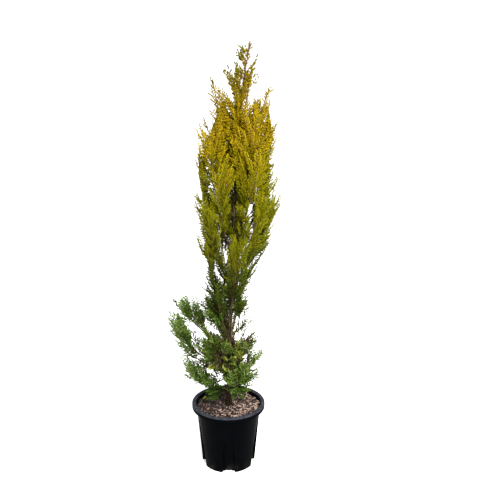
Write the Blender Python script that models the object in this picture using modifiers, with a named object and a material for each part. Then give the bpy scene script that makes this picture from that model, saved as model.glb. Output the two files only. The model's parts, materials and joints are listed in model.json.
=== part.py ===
"""Potted lemon cypress: a narrow young conifer with one leader, in a fluted nursery pot.

The trunk stands on the potting mix and runs whole to the top of the plant. Tiers of upswept limbs
spiral round it, and their ends follow the outline of the crown. A limb is one mass of foliage that
starts at the trunk, or a bare bough that carries the mass at its end.

Metres, +Z up. The origin is the middle of the pot's flat underside. The front is -Y, the left -X.
"""
import math
import random
from collections import namedtuple

import bmesh
import bpy
import numpy as np
from mathutils import Matrix, Vector

CLEARANCE = 0.0003

# The pot: a tapered wall under a rolled rim, with five flutes that deepen toward the foot.
RIM_RADIUS = 0.150
RIM_MOUTH_RADIUS = 0.1335
POT_HEIGHT = 0.2652
SKIRT_DROP = 0.0212
WALL_TOP_RADIUS = 0.1305
WALL_FOOT_RADIUS = 0.1086
WALL = 0.0022
FLOOR = 0.0025
FLUTES = 5
FLUTE_DEPTH = 0.0135
FLUTE_TOP = 0.236
FLUTE_HALF_TURN_TOP = math.radians(4.5)
FLUTE_HALF_TURN_FOOT = math.radians(12.5)
FLUTE_EDGE_TURN = math.radians(2.2)
COLUMNS_PER_FLUTE = 10
WALL_SEGMENTS = 4
SLOT_WIDTH = 0.028
SLOT_HEIGHT = 0.011

# The potting mix fills the pot to a little below its rim.
MIX_TOP = 0.2500
MIX_LUMP = 0.0035
MIX_FLAT_RADIUS = 0.024

# The trunk leans to the right, more at its thin tip.
TRUNK_TOP = 1.684
TRUNK_LEAN = 0.046
TIP_HOOK = 0.038
TRUNK_FOOT_RADIUS = 0.0092
TRUNK_TIP_RADIUS = 0.0014
ROOT_FLARE = 0.0052
FLARE_HEIGHT = 0.030
FLARE_LOBES = 5
TRUNK_RINGS = 22

# The crown's outline: height, then its reach from the trunk on the left and on the right.
OUTLINE = (
    (0.300, 0.135, 0.130),
    (0.450, 0.210, 0.140),
    (0.560, 0.245, 0.120),
    (0.700, 0.260, 0.040),
    (0.780, 0.100, 0.060),
    (0.900, 0.108, 0.092),
    (1.080, 0.150, 0.160),
    (1.330, 0.155, 0.140),
    (1.525, 0.138, 0.120),
    (1.590, 0.062, 0.045),
    (1.680, 0.020, 0.016),
)
SPRAY_OVERHANG = 0.07

# A tier's limbs turn round the trunk from its start, each a little higher than the one before.
Tier = namedtuple("Tier", "name limbs foot rise start bow bare twig radius bough")
TIERS = (
    Tier("low", 4, 0.305, 0.100, 200, 1.25, 0.22, 0.040, 0.0024, False),
    Tier("skirt", 5, 0.385, 0.165, 180, 1.30, 0.36, 0.046, 0.0030, True),
    Tier("spread", 5, 0.475, 0.225, 172, 1.25, 0.40, 0.046, 0.0030, True),
    Tier("waist", 4, 0.600, 0.330, 190, 1.25, 0.08, 0.036, 0.0028, False),
    Tier("lower", 5, 0.735, 0.335, 226, 1.50, 0.12, 0.046, 0.0032, False),
    Tier("middle", 5, 0.880, 0.340, 234, 1.90, 0.26, 0.054, 0.0034, True),
    Tier("upper", 5, 1.035, 0.370, 216, 1.90, 0.12, 0.054, 0.0031, False),
    Tier("top", 5, 1.210, 0.330, 184, 1.90, 0.10, 0.046, 0.0028, False),
    Tier("tip", 3, 1.400, 0.195, 228, 1.60, 0.08, 0.030, 0.0022, False),
)
LIMB_STEP = 0.016
TIP_LIMB_STEP = 0.045
LIMB_WANDER = math.radians(9)
LIMB_TIP_RADIUS = 0.0013
STEM_RINGS = 7
BOUGH_RINGS = 5
SEED = 41

# Foliage: side shoots turn round a stem by the golden angle. Every second one is a twig with
# sprays at its end and sides, and the others are single sprays.
GOLDEN_ANGLE = math.radians(137.508)
SHOOT_SPACING = 0.036
FEWEST_SHOOTS = 5
TRIES = 4
TWIG_SHARE_OF_STEM = 0.62
SHOOT_ANGLE_FOOT = math.radians(46)
SHOOT_ANGLE_TIP = math.radians(27)
SIDE_SPRAY_ANGLE = math.radians(38)
SPRAY_LENGTH = 0.080
SPRAY_WIDTH = 0.0225
SPRAY_THICKNESS = 0.0100
SPRAY_SHOULDER = 0.36
SPRAY_GAP = 0.013
SPACE_MARGIN = 0.004
TRUNK_MARGIN = 0.0025
LOWEST_LEAF = 0.272

COLOURS = {
    "pot": ((0.020, 0.022, 0.026), 0.42),
    "potting_mix": ((0.165, 0.098, 0.060), 0.95),
    "trunk": ((0.115, 0.064, 0.038), 0.88),
    "bough": ((0.130, 0.070, 0.040), 0.86),
    "low": ((0.075, 0.150, 0.040), 0.60),
    "skirt": ((0.080, 0.165, 0.045), 0.60),
    "spread": ((0.085, 0.175, 0.045), 0.60),
    "waist": ((0.105, 0.175, 0.030), 0.58),
    "lower": ((0.160, 0.205, 0.025), 0.58),
    "middle": ((0.215, 0.230, 0.022), 0.58),
    "upper": ((0.310, 0.270, 0.020), 0.56),
    "top": ((0.400, 0.310, 0.022), 0.56),
    "tip": ((0.440, 0.330, 0.060), 0.56),
}


def material(name):
    made = bpy.data.materials.get(name)
    if made is None:
        colour, roughness = COLOURS[name]
        made = bpy.data.materials.new(name)
        made.use_nodes = True
        shader = made.node_tree.nodes["Principled BSDF"]
        shader.inputs["Base Color"].default_value = (*colour, 1.0)
        shader.inputs["Roughness"].default_value = roughness
    return made


def new_collection(name):
    made = bpy.data.collections.new(name)
    bpy.context.scene.collection.children.link(made)
    return made


def new_object(name, mesh, collection):
    made = bpy.data.objects.new(name, mesh)
    collection.objects.link(made)
    return made


def remove_object(gone):
    data = gone.data
    bpy.data.objects.remove(gone)
    if isinstance(data, bpy.types.Mesh) and data.users == 0:
        bpy.data.meshes.remove(data)


def evaluated_mesh(source):
    bpy.context.view_layer.update()
    graph = bpy.context.evaluated_depsgraph_get()
    return bpy.data.meshes.new_from_object(source.evaluated_get(graph), depsgraph=graph)


def bake_modifiers(target):
    """Put the mesh that the modifiers give in place of the object's own."""
    mesh = evaluated_mesh(target)
    target.modifiers.clear()
    old = target.data
    target.data = mesh
    bpy.data.meshes.remove(old)


# Turned pieces


def turned(name, profile, steps, collection):
    """Turn a profile of (radius, height) round Z. It runs down its outer side."""
    mesh = bpy.data.meshes.new(name)
    outline = bmesh.new()
    corners = [outline.verts.new((radius, 0, height)) for radius, height in profile]
    for first, second in zip(corners, corners[1:]):
        outline.edges.new((first, second))
    outline.to_mesh(mesh)
    outline.free()
    made = new_object(name, mesh, collection)
    screw = made.modifiers.new("turn", "SCREW")
    screw.steps = steps
    screw.render_steps = steps
    screw.use_merge_vertices = True
    screw.merge_threshold = 0.00001
    bake_modifiers(made)
    return made


def wall_radius(height):
    share = height / (POT_HEIGHT - SKIRT_DROP)
    return WALL_FOOT_RADIUS + (WALL_TOP_RADIUS - WALL_FOOT_RADIUS) * share


def fluted(radius, column, height):
    """Where a point of the wall lies once the flutes are pressed in, as (angle, radius).

    The columns are counted from the middle of a flute. Two mark its floor and two the top of its
    sides, so that its edges stay straight while it widens toward the foot. A surface inside the
    wall's outer one turns round a wider flute, which keeps the sides as thick as the floor.
    """
    flute, offset = divmod(column + COLUMNS_PER_FLUTE // 2, COLUMNS_PER_FLUTE)
    offset -= COLUMNS_PER_FLUTE // 2
    period = math.tau / FLUTES
    down = min(max(1 - height / FLUTE_TOP, 0), 1)
    half = FLUTE_HALF_TURN_TOP + (FLUTE_HALF_TURN_FOOT - FLUTE_HALF_TURN_TOP) * down
    half += (wall_radius(height) - radius) / radius
    plain = COLUMNS_PER_FLUTE // 2 - 2
    steps_out = abs(offset)
    if steps_out == 0:
        turn = 0.0
    elif steps_out == 1:
        turn = half
    else:
        edge = half + FLUTE_EDGE_TURN
        turn = edge + (period / 2 - edge) * (steps_out - 2) / plain
    inset = FLUTE_DEPTH * down if steps_out < 2 else 0.0
    return flute * period + math.copysign(turn, offset), radius - inset


def press_flutes(target, wall_from):
    """Move the columns of the wall into their fluted places, and turn a flute to the front."""
    columns = FLUTES * COLUMNS_PER_FLUTE
    for vertex in target.data.vertices:
        x, y, height = vertex.co
        radius = math.hypot(x, y)
        if radius < wall_from or height > POT_HEIGHT - SKIRT_DROP:
            continue
        column = round(math.atan2(y, x) / math.tau * columns) % columns
        angle, radius = fluted(radius, column, height)
        vertex.co = (radius * math.cos(angle), radius * math.sin(angle), height)
    target.data.transform(Matrix.Rotation(-math.pi / 2, 4, "Z"))

    # The same short diagonals split every wall surface, so that they stay apart where they twist.
    split = bmesh.new()
    split.from_mesh(target.data)
    twisted = [face for face in split.faces if len(face.verts) == 4]
    bmesh.ops.triangulate(split, faces=twisted, quad_method="SHORT_EDGE")
    split.to_mesh(target.data)
    split.free()


def build_pot(collection, cutters):
    skirt_foot = POT_HEIGHT - SKIRT_DROP
    underside = POT_HEIGHT - 0.006
    steps = [step / WALL_SEGMENTS for step in range(WALL_SEGMENTS + 1)]
    inner_heights = [FLOOR + (FLUTE_TOP - FLOOR) * step for step in steps]
    outer_heights = [FLUTE_TOP * (1 - step) for step in steps]
    profile = (
        (0, FLOOR),
        *((wall_radius(height) - WALL, height) for height in inner_heights),
        (RIM_MOUTH_RADIUS - 0.0030, skirt_foot + 0.0035),
        (RIM_MOUTH_RADIUS, POT_HEIGHT - 0.0075),
        (RIM_MOUTH_RADIUS + 0.0012, POT_HEIGHT - 0.0030),
        (RIM_MOUTH_RADIUS + 0.0045, POT_HEIGHT),
        (RIM_RADIUS - 0.0060, POT_HEIGHT),
        (RIM_RADIUS - 0.0018, POT_HEIGHT - 0.0022),
        (RIM_RADIUS, POT_HEIGHT - 0.0065),
        (RIM_RADIUS - 0.0012, skirt_foot),
        (RIM_RADIUS - 0.0012 - WALL, skirt_foot),
        (RIM_RADIUS - 0.0016 - WALL, underside),
        (RIM_MOUTH_RADIUS + WALL, underside),
        (wall_radius(skirt_foot), skirt_foot),
        *((wall_radius(height), height) for height in outer_heights),
        (0, 0),
    )
    pot = turned("pot", profile, FLUTES * COLUMNS_PER_FLUTE, collection)
    press_flutes(pot, 0.05)

    # A low drain slot goes through the foot of each flute.
    reach = 0.030
    middle = WALL_FOOT_RADIUS - FLUTE_DEPTH
    for flute in range(FLUTES):
        box = bmesh.new()
        bmesh.ops.create_cube(box, size=1)
        turn = Matrix.Rotation(math.tau * flute / FLUTES - math.pi / 2, 4, "Z")
        size = Matrix.Diagonal((reach, SLOT_WIDTH, 2 * SLOT_HEIGHT, 1))
        bmesh.ops.transform(box, matrix=turn @ Matrix.Translation((middle, 0, 0)) @ size, verts=box.verts)
        mesh = bpy.data.meshes.new("slot")
        box.to_mesh(mesh)
        box.free()
        new_object(f"slot_{flute + 1}", mesh, cutters)
    cut = pot.modifiers.new("drain slots", "BOOLEAN")
    cut.operation = "DIFFERENCE"
    cut.operand_type = "COLLECTION"
    cut.collection = cutters
    bake_modifiers(pot)
    for slot in list(cutters.objects):
        remove_object(slot)
    pot.data.materials.clear()
    pot.data.materials.append(material("pot"))
    pot.data.shade_smooth()
    pot.data.set_sharp_from_angle(angle=math.radians(35))


def mix_surface(x, y):
    """Height of the potting mix: low lumps that die out at the trunk and at the wall."""
    radius = math.hypot(x, y)
    wave = math.sin(61 * x + 1.1) * math.cos(53 * y - 0.4) + 0.6 * math.sin(117 * x - 83 * y)
    near = min(max((radius - MIX_FLAT_RADIUS) / 0.02, 0), 1)
    far = min(max((0.127 - radius) / 0.03, 0), 1)
    return MIX_TOP - CLEARANCE + MIX_LUMP * wave * near * far / 1.6 - 0.004 * (radius / 0.13) ** 4


def build_mix(collection):
    inner = WALL + 2 * CLEARANCE
    edge_height = MIX_TOP - 0.006
    profile = [(0, MIX_TOP)]
    profile += [(radius, MIX_TOP) for radius in (0.024, 0.046, 0.072, 0.098)]
    rim = (RIM_MOUTH_RADIUS - 0.0075, edge_height)
    profile += [rim]
    foot = FLOOR + CLEARANCE
    for step in range(WALL_SEGMENTS):
        height = FLUTE_TOP + (FLOOR - FLUTE_TOP) * step / WALL_SEGMENTS
        profile += [(wall_radius(height) - inner, height)]
    profile += [(wall_radius(foot) - inner, foot)]
    profile += [(0, foot)]
    mix = turned("potting_mix", profile, FLUTES * COLUMNS_PER_FLUTE, collection)
    press_flutes(mix, 0.105)
    for vertex in mix.data.vertices:
        x, y, height = vertex.co
        if height > MIX_TOP - 0.001:
            vertex.co.z = mix_surface(x, y)
    for face in mix.data.polygons:
        face.use_smooth = True
    mix.data.materials.append(material("potting_mix"))


# The trunk


def trunk_share(height):
    return (height - MIX_TOP) / (TRUNK_TOP - MIX_TOP)


def trunk_centre(height):
    share = max(trunk_share(height), 0)
    lean = TRUNK_LEAN * share ** 1.15 + TIP_HOOK * share ** 6
    return Vector((lean, 0.004 * math.sin(5 * share), height))


def trunk_radius(height):
    taper = TRUNK_TIP_RADIUS + (TRUNK_FOOT_RADIUS - TRUNK_TIP_RADIUS) * (1 - trunk_share(height))
    return taper + ROOT_FLARE * math.exp((MIX_TOP - height) / FLARE_HEIGHT)


def triangle_profile():
    """A guide curve that gives twigs and stems their three sides."""
    data = bpy.data.curves.new("three_sides", "CURVE")
    spline = data.splines.new("POLY")
    spline.points.add(2)
    for index, point in enumerate(spline.points):
        turn = math.tau * index / 3
        point.co = (math.cos(turn), math.sin(turn), 0, 1)
    spline.use_cyclic_u = True
    guide = bpy.data.objects.new("three_sides", data)
    guide.hide_render = True
    guide.display_type = "WIRE"
    return guide


def swept(name, points, radii, collection, sides=12, profile=None):
    """A tapering round limb through the points, as a closed mesh."""
    data = bpy.data.curves.new(name, "CURVE")
    data.dimensions = "3D"
    data.use_fill_caps = True
    if profile is None:
        data.bevel_depth = 1.0
        data.bevel_resolution = sides // 2 - 2
    else:
        data.bevel_mode = "OBJECT"
        data.bevel_object = profile
    spline = data.splines.new("POLY")
    spline.points.add(len(points) - 1)
    for spot, place, radius in zip(spline.points, points, radii):
        spot.co = (*place, 1)
        spot.radius = radius
    curve = new_object(name + "_path", data, collection)
    mesh = evaluated_mesh(curve)
    mesh.name = name
    remove_object(curve)
    bpy.data.curves.remove(data)
    welded = bmesh.new()
    welded.from_mesh(mesh)
    bmesh.ops.remove_doubles(welded, verts=welded.verts, dist=0.00001)
    bmesh.ops.recalc_face_normals(welded, faces=welded.faces)
    welded.to_mesh(mesh)
    welded.free()
    return new_object(name, mesh, collection)


def build_trunk(name, collection, swell=0.0, rings=TRUNK_RINGS, start=MIX_TOP):
    """The trunk, or with swell the sleeve round it that limbs are cut by."""
    length = TRUNK_TOP - start
    heights = [start + length * (step / (rings - 1)) ** 1.35 for step in range(rings)]
    points = [trunk_centre(height) for height in heights]
    radii = [trunk_radius(height) + swell for height in heights]
    trunk = swept(name, points, radii, collection)
    for vertex in trunk.data.vertices:
        x, y, height = vertex.co
        fade = math.exp((MIX_TOP - height) / FLARE_HEIGHT)
        lobes = 1 + 0.16 * fade * math.cos(FLARE_LOBES * math.atan2(y, x) + 0.8)
        centre = trunk_centre(height)
        vertex.co.x = centre.x + (x - centre.x) * lobes
        vertex.co.y = centre.y + (y - centre.y) * lobes
        if height < start + 0.002:
            vertex.co.z = start
    trunk.data.materials.append(material("trunk"))
    trunk.data.shade_smooth()
    trunk.data.set_sharp_from_angle(angle=math.radians(50))
    return trunk


# Limbs


def outline_reach(height, turn):
    """Reach of the crown from the trunk, at a height and in a direction."""
    heights, left, right = zip(*OUTLINE)
    to_left = float(np.interp(height, heights, left))
    to_right = float(np.interp(height, heights, right))
    return (to_left + to_right) / 2 - (to_left - to_right) / 2 * math.cos(turn)


class Limb:
    """One upswept limb: where it leaves the trunk, and the curve that it follows."""

    def __init__(self, tier, number, rng):
        stride = 2 if tier.limbs > 4 else 1
        self.tier = tier
        self.label = f"{tier.name}_{number + 1}"
        self.turn = math.radians(tier.start) + math.tau * stride * number / tier.limbs
        self.turn += rng.uniform(-LIMB_WANDER, LIMB_WANDER)
        self.foot = tier.foot + (TIP_LIMB_STEP if tier.name == "tip" else LIMB_STEP) * number
        self.rise = tier.rise * rng.uniform(0.94, 1.06)
        self.twist = rng.uniform(-0.2, 0.2)
        self.reach = outline_reach(self.foot + self.rise, self.turn) * (1 - SPRAY_OVERHANG)
        self.reach *= rng.uniform(0.95, 1.05)
        self.seed = rng.random()

    def at(self, share):
        out = self.reach * (1 - max(1 - share, 0) ** self.tier.bow)
        turn = self.turn + self.twist * share
        centre = trunk_centre(self.foot + self.rise * share)
        return centre + Vector((math.cos(turn), math.sin(turn), 0)) * out

    def heading(self, share):
        return (self.at(min(share + 0.01, 1.0)) - self.at(share - 0.01)).normalized()

    def length(self):
        spots = [self.at(step / 20) for step in range(21)]
        return sum((second - first).length for first, second in zip(spots, spots[1:]))

    def radius(self, share):
        return LIMB_TIP_RADIUS + (self.tier.radius - LIMB_TIP_RADIUS) * max(1 - share, 0) ** 0.8


def all_limbs():
    rng = random.Random(SEED)
    return [Limb(tier, number, rng) for tier in TIERS for number in range(tier.limbs)]


def limb_stretch(limb, first, last, rings):
    shares = [first + (last - first) * step / (rings - 1) for step in range(rings)]
    return [limb.at(share) for share in shares], [limb.radius(share) for share in shares]


def cut_at_trunk(limb_object, sleeve):
    """Shape the limb's foot to the trunk, with the clearance between them."""
    cut = limb_object.modifiers.new("trunk", "BOOLEAN")
    cut.operation = "DIFFERENCE"
    cut.object = sleeve
    bake_modifiers(limb_object)
    keep_largest_body(limb_object.data)


def keep_largest_body(mesh):
    """Drop the loose scraps and the sealed hollows that a Boolean can leave."""
    body = bmesh.new()
    body.from_mesh(mesh)
    unseen = set(body.verts)
    islands = []
    while unseen:
        front = [unseen.pop()]
        island = list(front)
        while front:
            for edge in front.pop().link_edges:
                for vertex in edge.verts:
                    if vertex in unseen:
                        unseen.remove(vertex)
                        front.append(vertex)
                        island.append(vertex)
        islands.append(island)
    islands.sort(key=len)
    for island in islands[:-1]:
        bmesh.ops.delete(body, geom=island, context="VERTS")
    body.to_mesh(mesh)
    body.free()


def build_bough(limb, collection, sleeve):
    points, radii = limb_stretch(limb, 0.0, limb.tier.bare, BOUGH_RINGS)
    bough = swept("bough_" + limb.label, points, radii, collection, sides=6)
    cut_at_trunk(bough, sleeve)
    bough.data.materials.clear()
    bough.data.materials.append(material("bough"))
    bough.data.shade_smooth()
    bough.data.set_sharp_from_angle(angle=math.radians(50))


# Foliage


class Space:
    """Keeps each mass of foliage to the room nearest its own limb, clear of trunk and pot."""

    def __init__(self, limbs):
        shares = np.linspace(0.02, 1.0, 24)
        self.spots = np.array([[limb.at(share) for share in shares] for limb in limbs])

    def holds(self, points, owner):
        points = np.array(points)
        gaps = np.linalg.norm(self.spots[None] - points[:, None, None], axis=3).min(axis=2)
        own = gaps[:, owner]
        others = np.delete(gaps, owner, axis=1).min(axis=1)
        if (own + SPACE_MARGIN > others).any():
            return False
        for point in points:
            if point[2] < LOWEST_LEAF:
                return False
            height = min(point[2], TRUNK_TOP)
            if (Vector(point) - trunk_centre(height)).length < trunk_radius(height) + TRUNK_MARGIN:
                return False
        return True


def sideways(heading, turn):
    """A direction square to the heading, turned round it."""
    level = heading.cross(Vector((0, 0, 1)))
    if level.length < 0.05:
        level = heading.cross(Vector((0, 1, 0)))
    level.normalize()
    return (Matrix.Rotation(turn, 3, heading) @ level).normalized()


def placed(piece, root, heading, roll, size):
    """Move a piece made along +Z so that it starts at the root and follows the heading."""
    across = sideways(heading, roll)
    frame = Matrix((across, heading.cross(across), heading)).transposed().to_4x4()
    frame.translation = root
    bmesh.ops.transform(piece, matrix=frame @ Matrix.Diagonal((*size, 1)), verts=piece.verts)
    return piece


def spray_mesh(root, heading, length, roll):
    """A slim spray of eight faces, widest at its shoulder."""
    spray = bmesh.new()
    bmesh.ops.create_uvsphere(spray, u_segments=4, v_segments=2, radius=1)
    for vertex in spray.verts:
        vertex.co.z = SPRAY_SHOULDER if abs(vertex.co.z) < 0.5 else (vertex.co.z + 1) / 2
    return placed(spray, root, heading, roll, (SPRAY_WIDTH / 2, SPRAY_THICKNESS / 2, length))


def twig_mesh(root, heading, length, radius, roll):
    """A straight three-sided twig."""
    twig = bmesh.new()
    bmesh.ops.create_cone(twig, cap_ends=True, segments=3, radius1=1, radius2=0.7, depth=1)
    bmesh.ops.translate(twig, vec=(0, 0, 0.5), verts=twig.verts)
    return placed(twig, root, heading, roll, (radius, radius, length))


def sunk(root, heading, radius, angle):
    """The root moved back along the heading, as far as a three-sided carrier still covers it."""
    return root - heading * (0.42 * radius / math.sin(angle))


class Mass:
    """One mass of foliage as it grows: its twigs and sprays, and the lines that they follow."""

    def __init__(self, limb, owner, space, pieces):
        self.limb = limb
        self.owner = owner
        self.space = space
        self.pieces = pieces
        self.lines = []

    def add(self, piece, name, root, heading, length):
        """Keep the piece if it stays in the mass's space and off the sprays already there."""
        spots = [root + heading * length * share for share in (0.45, 0.7, 1.0)]
        crowded = any((spot - other).length < SPRAY_GAP for spot in spots for other in self.lines)
        corners = [vertex.co for vertex in piece.verts]
        middles = [(edge.verts[0].co + edge.verts[1].co) / 2 for edge in piece.edges]
        outer = [point.copy() for point in corners + middles if (point - root).length > 0.012]
        fits = (name == "twig" or not crowded) and self.space.holds(outer, self.owner)
        if fits:
            mesh = bpy.data.meshes.new(name)
            piece.to_mesh(mesh)
            new_object(name, mesh, self.pieces)
            if name == "spray":
                self.lines += spots
        piece.free()
        return fits

    def spray(self, carrier, heading, length, roll, radius, angle):
        root = sunk(carrier, heading, radius, angle)
        return self.add(spray_mesh(root, heading, length, roll), "spray", root, heading, length)

    def twig(self, root, heading, length, radius, roll, rng):
        """A twig with a spray at its end and one on each side."""
        spray = SPRAY_LENGTH * rng.uniform(0.8, 1.05)
        end = root + heading * (length - 0.006)
        if not self.spray(end, heading, spray, roll, 0.002, math.pi / 2):
            return False
        self.add(twig_mesh(root, heading, length, radius, roll), "twig", root, heading, length)
        aside = sideways(heading, roll + math.pi / 2)
        for side, place in ((1, 0.42), (-1, 0.66)):
            angle = SIDE_SPRAY_ANGLE * side
            lean = (heading * math.cos(angle) + aside * math.sin(angle)).normalized()
            carrier = root + heading * length * place
            self.spray(carrier, lean, spray * 0.85, roll, radius * 0.85, SIDE_SPRAY_ANGLE)
        return True


def shoot_length(limb, share):
    """Side shoots are longest a third of the way up a stem, and short at its tip."""
    return limb.tier.twig * (0.45 + 0.55 * math.cos(1.5 * (share - 0.35)) - 0.35 * share)


def grow_mass(limb, owner, space, pieces, stem_end):
    """Side shoots and sprays along one stem, by a rule that the limb's own seed varies."""
    rng = random.Random(limb.seed)
    mass = Mass(limb, owner, space, pieces)
    heading = limb.heading(stem_end)
    mass.spray(limb.at(stem_end), heading, SPRAY_LENGTH, 0.0, 0.010, math.pi / 2)
    turn = rng.uniform(0, math.tau)
    first = limb.tier.bare + 0.05
    shoots = max(round(limb.length() * (stem_end - first) / SHOOT_SPACING), FEWEST_SHOOTS)
    for number in range(shoots):
        step = (number + rng.uniform(0.3, 0.7)) / shoots
        share = first + (stem_end - 0.03 - first) * step
        along = limb.heading(share)
        angle = SHOOT_ANGLE_FOOT + (SHOOT_ANGLE_TIP - SHOOT_ANGLE_FOOT) * step
        root = limb.at(share)
        radius = limb.radius(share)
        length = shoot_length(limb, step) * rng.uniform(0.85, 1.1)
        for attempt in range(TRIES):
            turn += GOLDEN_ANGLE
            out = sideways(along, turn)
            heading = (along * math.cos(angle) + out * math.sin(angle)).normalized()
            if number % 2:
                grown = mass.spray(root, heading, SPRAY_LENGTH, turn, radius, angle)
            else:
                grown = mass.twig(root, heading, length, radius * TWIG_SHARE_OF_STEM, turn, rng)
            if grown:
                break


def build_mass(limb, owner, space, collection, pieces, sleeve, profile):
    length = limb.length()
    first = limb.tier.bare + CLEARANCE / length if limb.tier.bough else 0.0
    stem_end = 1 - 0.85 * SPRAY_LENGTH / length
    points, radii = limb_stretch(limb, first, stem_end, STEM_RINGS)
    mass = swept("foliage_" + limb.label, points, radii, collection, profile=profile)
    grow_mass(limb, owner, space, pieces, stem_end)
    join = mass.modifiers.new("join", "BOOLEAN")
    join.operation = "UNION"
    join.operand_type = "COLLECTION"
    join.collection = pieces
    bake_modifiers(mass)
    for piece in list(pieces.objects):
        remove_object(piece)
    if limb.tier.bough:
        keep_largest_body(mass.data)
    else:
        cut_at_trunk(mass, sleeve)
    mass.data.materials.clear()
    mass.data.materials.append(material(limb.tier.name))


def main():
    for old in list(bpy.data.objects):
        bpy.data.objects.remove(old)
    plant = new_collection("potted_lemon_cypress")
    working = new_collection("cutters")
    pieces = new_collection("twigs_and_sprays")

    build_pot(plant, working)
    build_mix(plant)
    build_trunk("trunk", plant)
    sleeve = build_trunk("sleeve", working, swell=CLEARANCE)
    sleeve.hide_render = True
    sleeve.display_type = "WIRE"
    profile = triangle_profile()
    working.objects.link(profile)

    limbs = all_limbs()
    space = Space(limbs)
    for owner, limb in enumerate(limbs):
        if limb.tier.bough:
            build_bough(limb, plant, sleeve)
        build_mass(limb, owner, space, plant, pieces, sleeve, profile)
    remove_object(sleeve)
    remove_object(profile)


main()
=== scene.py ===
"""Looks of the potted lemon cypress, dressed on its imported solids.

The file follows the plant as it is put together: its pot, the potting mix, the trunk, the limbs and
their foliage, and last the place where it stands for its picture. Metres, +Z up, front -Y, left -X.
"""

import json
import math
import random
from collections import namedtuple

import bmesh
import bpy
import numpy as np
from mathutils import Matrix, Vector, noise

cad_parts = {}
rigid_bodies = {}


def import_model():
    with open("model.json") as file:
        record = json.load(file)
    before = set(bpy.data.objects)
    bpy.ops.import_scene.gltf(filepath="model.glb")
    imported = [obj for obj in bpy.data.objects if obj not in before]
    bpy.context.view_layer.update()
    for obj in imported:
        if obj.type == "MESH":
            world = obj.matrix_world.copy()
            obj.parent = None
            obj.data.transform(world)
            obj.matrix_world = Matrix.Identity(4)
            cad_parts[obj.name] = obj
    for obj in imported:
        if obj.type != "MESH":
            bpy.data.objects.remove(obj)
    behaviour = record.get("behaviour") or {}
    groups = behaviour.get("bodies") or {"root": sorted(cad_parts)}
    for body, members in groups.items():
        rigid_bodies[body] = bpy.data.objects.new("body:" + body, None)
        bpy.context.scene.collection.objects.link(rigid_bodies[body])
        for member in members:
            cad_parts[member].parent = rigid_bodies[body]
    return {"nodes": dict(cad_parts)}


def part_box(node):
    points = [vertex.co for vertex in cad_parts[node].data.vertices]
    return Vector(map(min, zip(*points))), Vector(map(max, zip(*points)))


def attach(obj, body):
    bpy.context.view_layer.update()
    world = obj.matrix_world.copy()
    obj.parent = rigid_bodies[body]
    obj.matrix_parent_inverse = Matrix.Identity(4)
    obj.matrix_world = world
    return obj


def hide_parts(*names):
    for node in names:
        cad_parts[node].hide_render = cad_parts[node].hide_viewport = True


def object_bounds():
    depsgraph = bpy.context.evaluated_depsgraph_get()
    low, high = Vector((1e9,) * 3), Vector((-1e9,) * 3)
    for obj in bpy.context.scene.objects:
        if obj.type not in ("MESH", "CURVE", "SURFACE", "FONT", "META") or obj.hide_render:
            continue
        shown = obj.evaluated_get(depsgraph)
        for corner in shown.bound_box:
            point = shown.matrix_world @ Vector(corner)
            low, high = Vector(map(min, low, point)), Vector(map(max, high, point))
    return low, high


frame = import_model()
cad_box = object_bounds()


# The pot
# A nursery pot of thin black plastic, moulded in one piece under a rolled rim. Five flutes pressed
# into its wall stiffen it and end in drain slots. Soil dust clings to its rim, its slots and its foot.
# Its lip is painted a lighter blue-grey in scuffed streaks, as a sheen.

pot_low, pot_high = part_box("pot")
RIM_RADIUS = -pot_low.y
POT_HEIGHT = pot_high.z
RIM_MOUTH_RADIUS = 0.1335
SKIRT_FOOT = POT_HEIGHT - 0.0212
RIM_UNDERSIDE = POT_HEIGHT - 0.0060
WALL_TOP_RADIUS = 0.1305
WALL_FOOT_RADIUS = 0.1086
WALL = 0.0022
FLOOR = 0.0025
FLUTES = 5
FLUTE_DEPTH = 0.0135
FLUTE_TOP = 0.236
FLUTE_HALF_TURN_TOP = math.radians(4.5)
FLUTE_HALF_TURN_FOOT = math.radians(12.5)
FLUTE_EDGE_TURN = math.radians(2.2)
FLUTE_FLOOR_COLUMNS = 4
FLUTE_SIDE_COLUMNS = 5
FLUTE_PLAIN_COLUMNS = 10
WALL_RINGS = 30
SLOT_WIDTH = 0.028
SLOT_HEIGHT = 0.011
SLOT_DEPTH = 0.030
LIP_FOOT = POT_HEIGHT - 0.0080
LIP_RADIUS = 0.0058
MOUTH_RADIUS = 0.0045
FOOT_BEVEL = 0.0012
FOOT_HOLLOW = 0.0012
FOOT_RING_SHARES = (0.88, 0.85)
SHARP_EDGE = math.radians(38)

POT_BLACK = (0.0002, 0.0003, 0.0005)
POT_CHARCOAL = (0.0006, 0.0009, 0.0013)
# The colour of the painted sheen on the rim's lip.
RIM_SHEEN_GREY = (0.0290, 0.0315, 0.0410)
SOIL_DUST = (0.0270, 0.0250, 0.0220)


class Value:
    """One output of a node. A sum on it adds Math nodes to the same tree."""

    def __init__(self, nodes, socket):
        self.nodes = nodes
        self.socket = socket

    def other(self, output):
        return Value(self.nodes, self.socket.node.outputs[output])

    def __add__(self, other):
        return self.nodes.maths("ADD", self, other)

    def __sub__(self, other):
        return self.nodes.maths("SUBTRACT", self, other)

    def __rsub__(self, other):
        return self.nodes.maths("SUBTRACT", other, self)

    def __mul__(self, other):
        return self.nodes.maths("MULTIPLY", self, other)

    __radd__ = __add__
    __rmul__ = __mul__


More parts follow.
